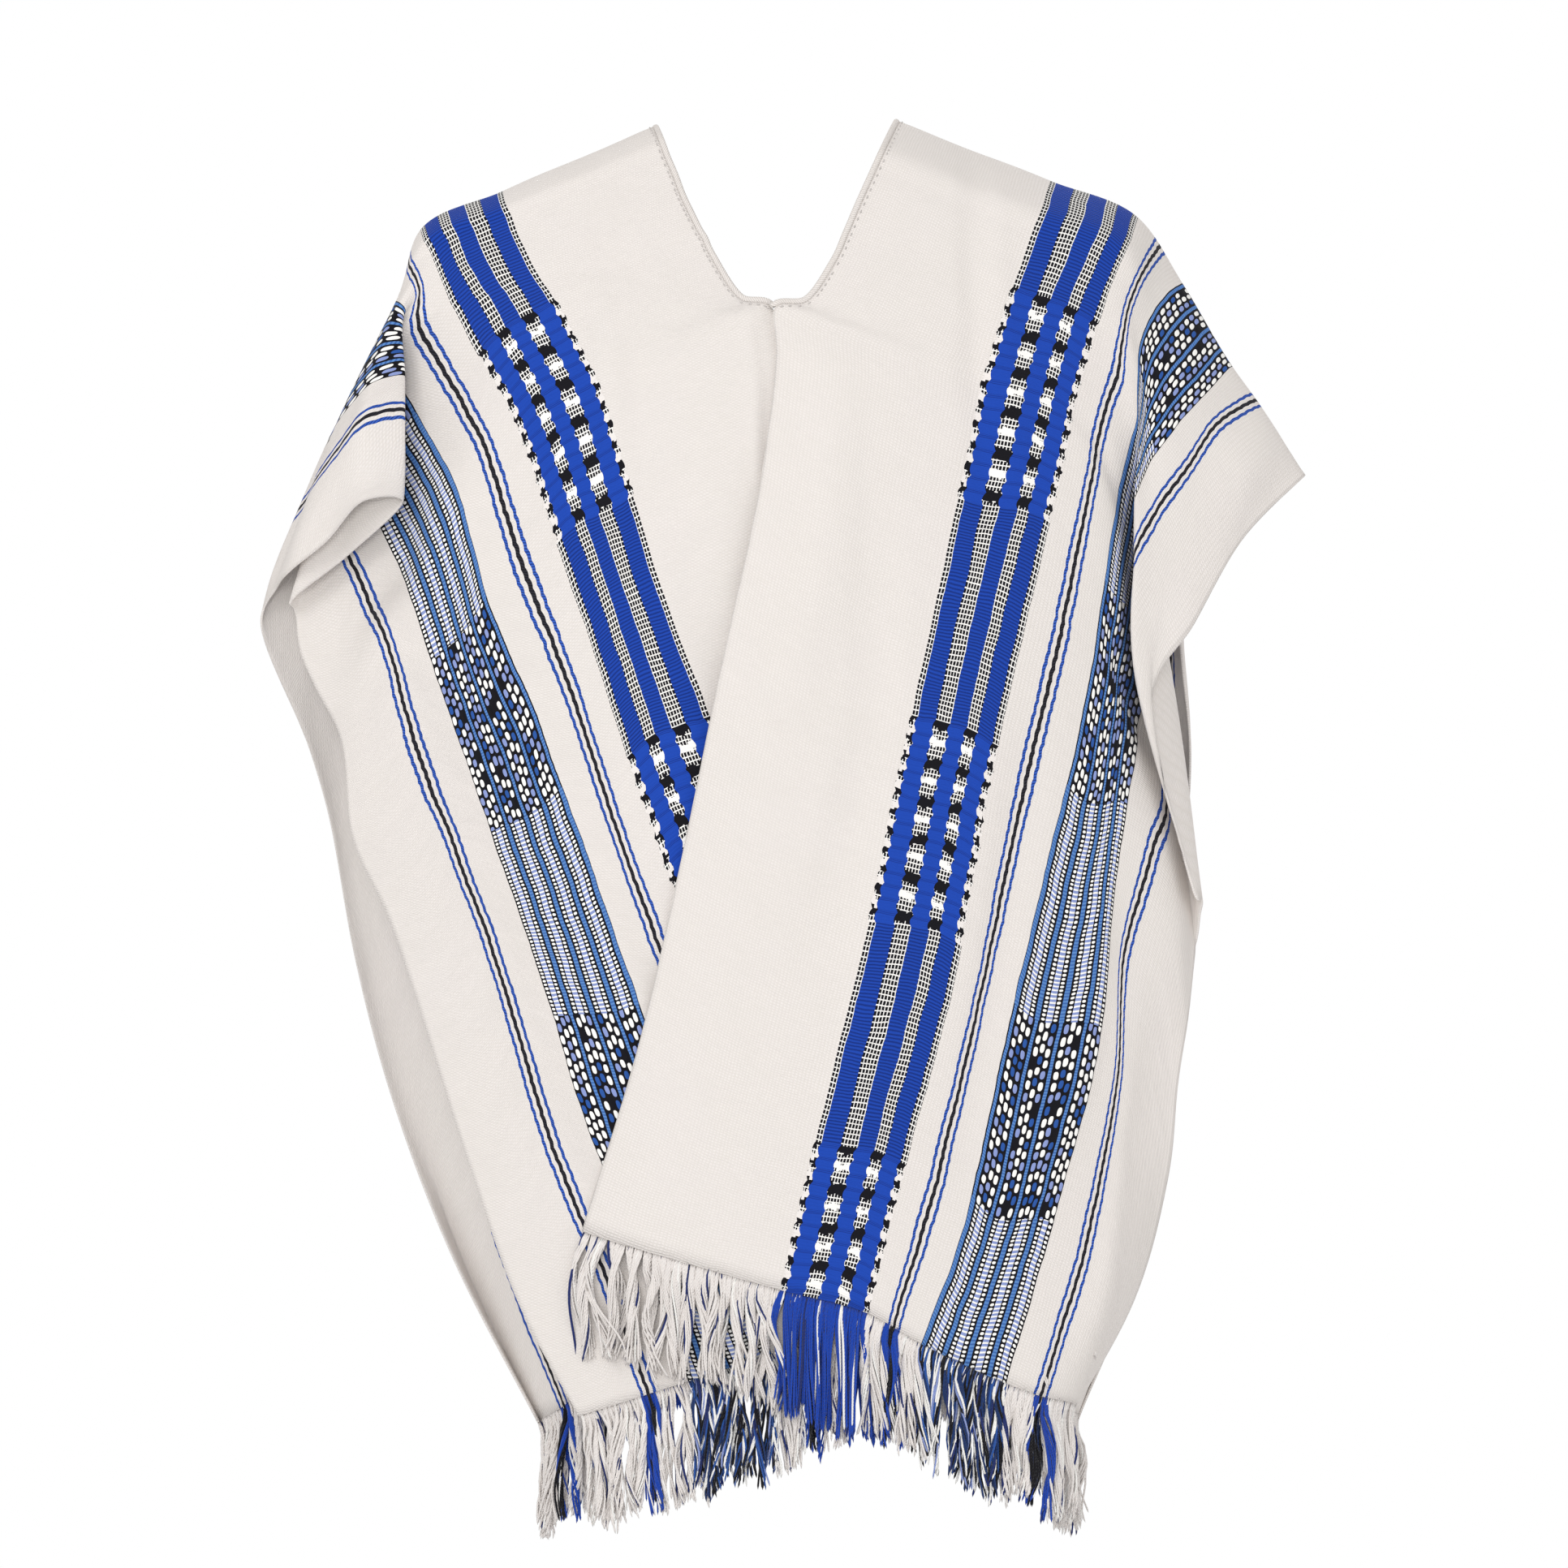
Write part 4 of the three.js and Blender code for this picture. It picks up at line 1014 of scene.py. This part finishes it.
def warp_yarn():
    """Slack cotton yarn in the colours of the warp above it."""
    yarn, tree, shader = new_material("loose_cotton_warp")
    place = add(tree, "Attribute", out="Vector", attribute_name="cloth")
    parts = add(tree, "SeparateXYZ", (place,)).node.outputs
    across = add(tree, "MapRange", {0: parts["X"], 1: 0, 2: STRIP_WIDTH})
    ramp = add(tree, "ValToRGB", (across,))
    stops(ramp, [(0, CREAM), (125, ROYAL), (178, CREAM), (194, ROYAL), (198, BLACK), (202, ROYAL),
                 (206, CREAM), (224, STEEL), (278, CREAM), (297, ROYAL), (301, BLACK),
                 (305, ROYAL), (309, CREAM)], 0, STRIP_WIDTH)
    figured = add(tree, "ValToRGB", (parts["Z"],))
    mixture = [(0, BLACK), (0.32, "1d3566"), (0.5, STEEL), (0.66, LAVENDER), (0.74, WHITE)]
    stops(figured, mixture, 0, 1)
    in_b = within_band_b(tree, parts["X"])
    colour = add(tree, "Mix", {0: in_b, 6: ramp, 7: figured}, **COLOURS)
    for side, limit, thread in (("GREATER_THAN", 0.93, WHITE), ("LESS_THAN", 0.05, "23306a")):
        stray = add(tree, "Math", (parts["Z"], limit), operation=side)
        colour = add(tree, "Mix", {0: stray, 6: colour, 7: thread}, **COLOURS)
    ply_line = add(tree, "Math", (parts["Y"], 66.0), operation="MULTIPLY")
    coords = add(tree, "TexCoord", out="Object")
    tilt = add(tree, "SeparateXYZ", (coords,)).node.outputs
    twist = add(tree, "Math", (tilt["X"], 1000.0, ply_line), operation="MULTIPLY_ADD")
    high = wave(tree, twist, 1.8)
    normal = add(tree, "Bump", {"Strength": 0.6, "Distance": 0.5 * MM, "Height": high})
    set_matt(tree, shader, colour, normal, roughness=0.9, gloss=0.2)
    shader["Sheen Weight"].default_value = 0.15
    return yarn


yarn_material = warp_yarn()
FRINGES = {}
HEMS = [("right", True), ("left", True), ("right", False), ("left", False)]
for seed, (name, front) in enumerate(HEMS, start=11):
    FRINGES[name, front] = fringe(name, front, seed)
    FRINGES[name, front].data.materials.append(yarn_material)
print("fringe faces", [len(piece.data.polygons) for piece in FRINGES.values()])

# %% [markdown]
# A narrow binding of the same cream cotton folds over the raw neck edge and runs round it
# without a break: down the left front, up the right front and round the back. A flattened
# tube swept round the edge is the simplest true shape. Its ring of points is turned at each
# step so that its flat side follows the cloth.

# %% Neck binding
BINDING_WIDTH = 3.8
BINDING_THICK = 3.2
BINDING_SIDES = 12
BINDING_REACH = 1.8
BINDING_MERGE = 2e-5
STEPS_ON_EDGE = 8


def neck_edge(name, first, last, reach):
    """Places at a reach out from a strip's inner edge between two of its rows, each with the direction
    away from the body.
    """
    strip = STRIPS[name]["strip"]
    low, high = min(first, last), max(first, last)
    along = fine_steps(strip["knots"][low:high + 1], STEPS_ON_EDGE)
    points = surface(strip, np.array([0.0, 3.0, 6.0]), along)
    away = outward(points, strip["way"])[:, 0]
    edge = [Vector(p) for p in points[:, 0]]
    inner = [Vector(p) for p in points[:, 2]]
    found = []
    for i, place in enumerate(edge):
        run = edge[min(i + 1, len(edge) - 1)] - edge[max(i - 1, 0)]
        up = Vector(away[i])
        into = run.cross(up).normalized()
        into *= -1 if into.dot(inner[i] - place) > 0 else 1
        found.append((place + into * reach, up))
    return found[::-1] if last < first else found


def round_the_neck(reach):
    """A loop at a distance out from the edge: down the left front, up the right, round the back."""
    left, right = LEFT["top"], RIGHT["top"]
    loop = neck_edge("left", left, left + 10, reach) + neck_edge("right", right + 7, right, reach)
    loop += neck_edge("right", right, right - 3, reach)[1:-1]
    return loop + neck_edge("left", left - 3, left, reach)[1:-1]


def neck_binding():
    loop = round_the_neck(BINDING_REACH)
    bm = bmesh.new()
    places = bm.verts.layers.float_vector.new("cloth")
    made = bmesh.ops.create_grid(bm, x_segments=BINDING_SIDES, y_segments=len(loop), size=1)["verts"]
    travelled = 0.0
    for k, vert in enumerate(made):
        i, side = divmod(k, BINDING_SIDES + 1)
        centre, up = loop[i % len(loop)]
        ahead = loop[(i + 1) % len(loop)][0]
        run = (ahead - loop[(i - 1) % len(loop)][0]).normalized()
        if side == 0 and i:
            travelled += (centre - loop[i - 1][0]).length
        away = (up - run * up.dot(run)).normalized()
        turn = 2 * math.pi * (side % BINDING_SIDES) / BINDING_SIDES
        wide = run.cross(away) * math.cos(turn) * BINDING_WIDTH / 2
        vert.co = (centre + wide + away * math.sin(turn) * BINDING_THICK / 2) * MM
        vert[places] = (turn * BINDING_WIDTH / 2, travelled, 0)
    return new_threads("binding", bm, BINDING_MERGE)


def binding_cotton():
    """Plain cotton folded over the edge: a fine slanted rib with painted shade in its grooves, and a
    slight soiling.
    """
    tape, tree, shader = new_material("folded_cotton_binding")
    place = add(tree, "Attribute", out="Vector", attribute_name="cloth")
    parts = add(tree, "SeparateXYZ", (place,)).node.outputs
    slant = add(tree, "Math", (parts["X"], 0.6, parts["Y"]), operation="MULTIPLY_ADD")
    rib = wave(tree, slant, 1.5)
    patch = stretched_noise(tree, place, (0.02, 0.02, 1), 3.0)
    # The rib's grooves are darker than its crests: painted shade.
    base = add(tree, "Mix", {0: rib, 6: "dbd4cd", 7: "ebe5e1"}, **COLOURS)
    soil = add(tree, "MapRange", {0: patch, 1: 0.4, 2: 0.8, 4: 0.5})
    colour = add(tree, "Mix", {0: soil, 6: base, 7: "e0d8d0"}, **COLOURS)
    normal = add(tree, "Bump", {"Strength": 0.7, "Distance": 0.5 * MM, "Height": rib})
    set_matt(tree, shader, colour, normal, roughness=0.9, gloss=0.25)
    return tape


binding = neck_binding()
binding.data.materials.append(binding_cotton())
print("binding faces", len(binding.data.polygons))

# %% [markdown]
# Hand stitches hold it together. A running stitch of cream thread follows the binding just
# inside the edge, and a ladder of short ones joins the strips down the centre back. Each is
# one short arc of thread laid with the same rolled grid as the fringe, so it has few faces.

# %% Stitches
STITCH_RADIUS = 0.42
STITCH_STEPS = 5
BINDING_STITCH = 3.6
RUNNING_REACH = 1.1
RUNNING_INSIDE = -1.7
SEAM_STITCH = 7.0
SEAM_STITCH_WIDE = 4.2


def stitch_arc(bm, places, centre, across, rise, reach, high, tone):
    """A stitch that arches over from one side of its centre to the other."""
    path = []
    for step in range(STITCH_STEPS + 1):
        turn = math.pi * step / STITCH_STEPS
        path.append(centre - across * math.cos(turn) * reach + rise * (math.sin(turn) * high))
    lay_yarn(bm, path, STITCH_RADIUS, places, (60, tone))


def binding_stitches():
    rng = random.Random(5)
    bm = bmesh.new()
    places = bm.verts.layers.float_vector.new("cloth")
    loop = round_the_neck(RUNNING_INSIDE)
    travelled, due = 0.0, 0.0
    for (a, up), (b, _) in zip(loop, loop[1:]):
        travelled += (b - a).length
        if travelled < due or (b - a).length < 0.01:
            continue
        due = travelled + BINDING_STITCH * rng.uniform(0.85, 1.15)
        run = (b - a).normalized()
        rise = (up - run * up.dot(run)).normalized()
        for way in (1, -1):
            stitch_arc(bm, places, a, run, rise * way, RUNNING_REACH, 1.15, rng.uniform(0.2, 0.6))
    return new_threads("binding_stitches", bm, THREAD_MERGE)


def seam_stitches():
    rng = random.Random(8)
    bm = bmesh.new()
    places = bm.verts.layers.float_vector.new("cloth")
    knots = RIGHT["knots"][:RIGHT["top"] - 2]
    along = fine_steps(knots, 40)
    seam, away, place = dressed_surface("right", np.array([0.0, 3.0, 6.0]), along)
    due = place[0, 0]
    for point, up, at in zip(seam[:, 0], away[:, 0], place[:, 0]):
        if at < due:
            continue
        due = at + SEAM_STITCH * rng.uniform(0.85, 1.15)
        centre = Vector((0, point[1], point[2]))
        rise = Vector((0, up[1], up[2])).normalized()
        across = Vector((1, 0, rng.uniform(0.15, 0.35))).normalized()
        stitch_arc(bm, places, centre, across, rise, SEAM_STITCH_WIDE / 2, 1.5, rng.uniform(0.2, 0.6))
    return new_threads("seam_stitches", bm, THREAD_MERGE)


neck_stitches = binding_stitches()
back_stitches = seam_stitches()
for stitches in (neck_stitches, back_stitches):
    stitches.data.materials.append(yarn_material)
print("stitch faces", len(neck_stitches.data.polygons) + len(back_stitches.data.polygons))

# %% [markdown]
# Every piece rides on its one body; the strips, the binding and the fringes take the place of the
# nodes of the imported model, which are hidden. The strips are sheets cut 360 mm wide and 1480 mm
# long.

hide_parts("strip_right")
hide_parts("strip_left")
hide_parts("neck_binding")
for (name, front), piece in FRINGES.items():
    end = "front" if front else "back"
    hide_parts("fringe_%s_%s" % (end, name))
for piece in [cloth_right, cloth_left, binding, neck_stitches, back_stitches, *FRINGES.values()]:
    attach(piece, "root")
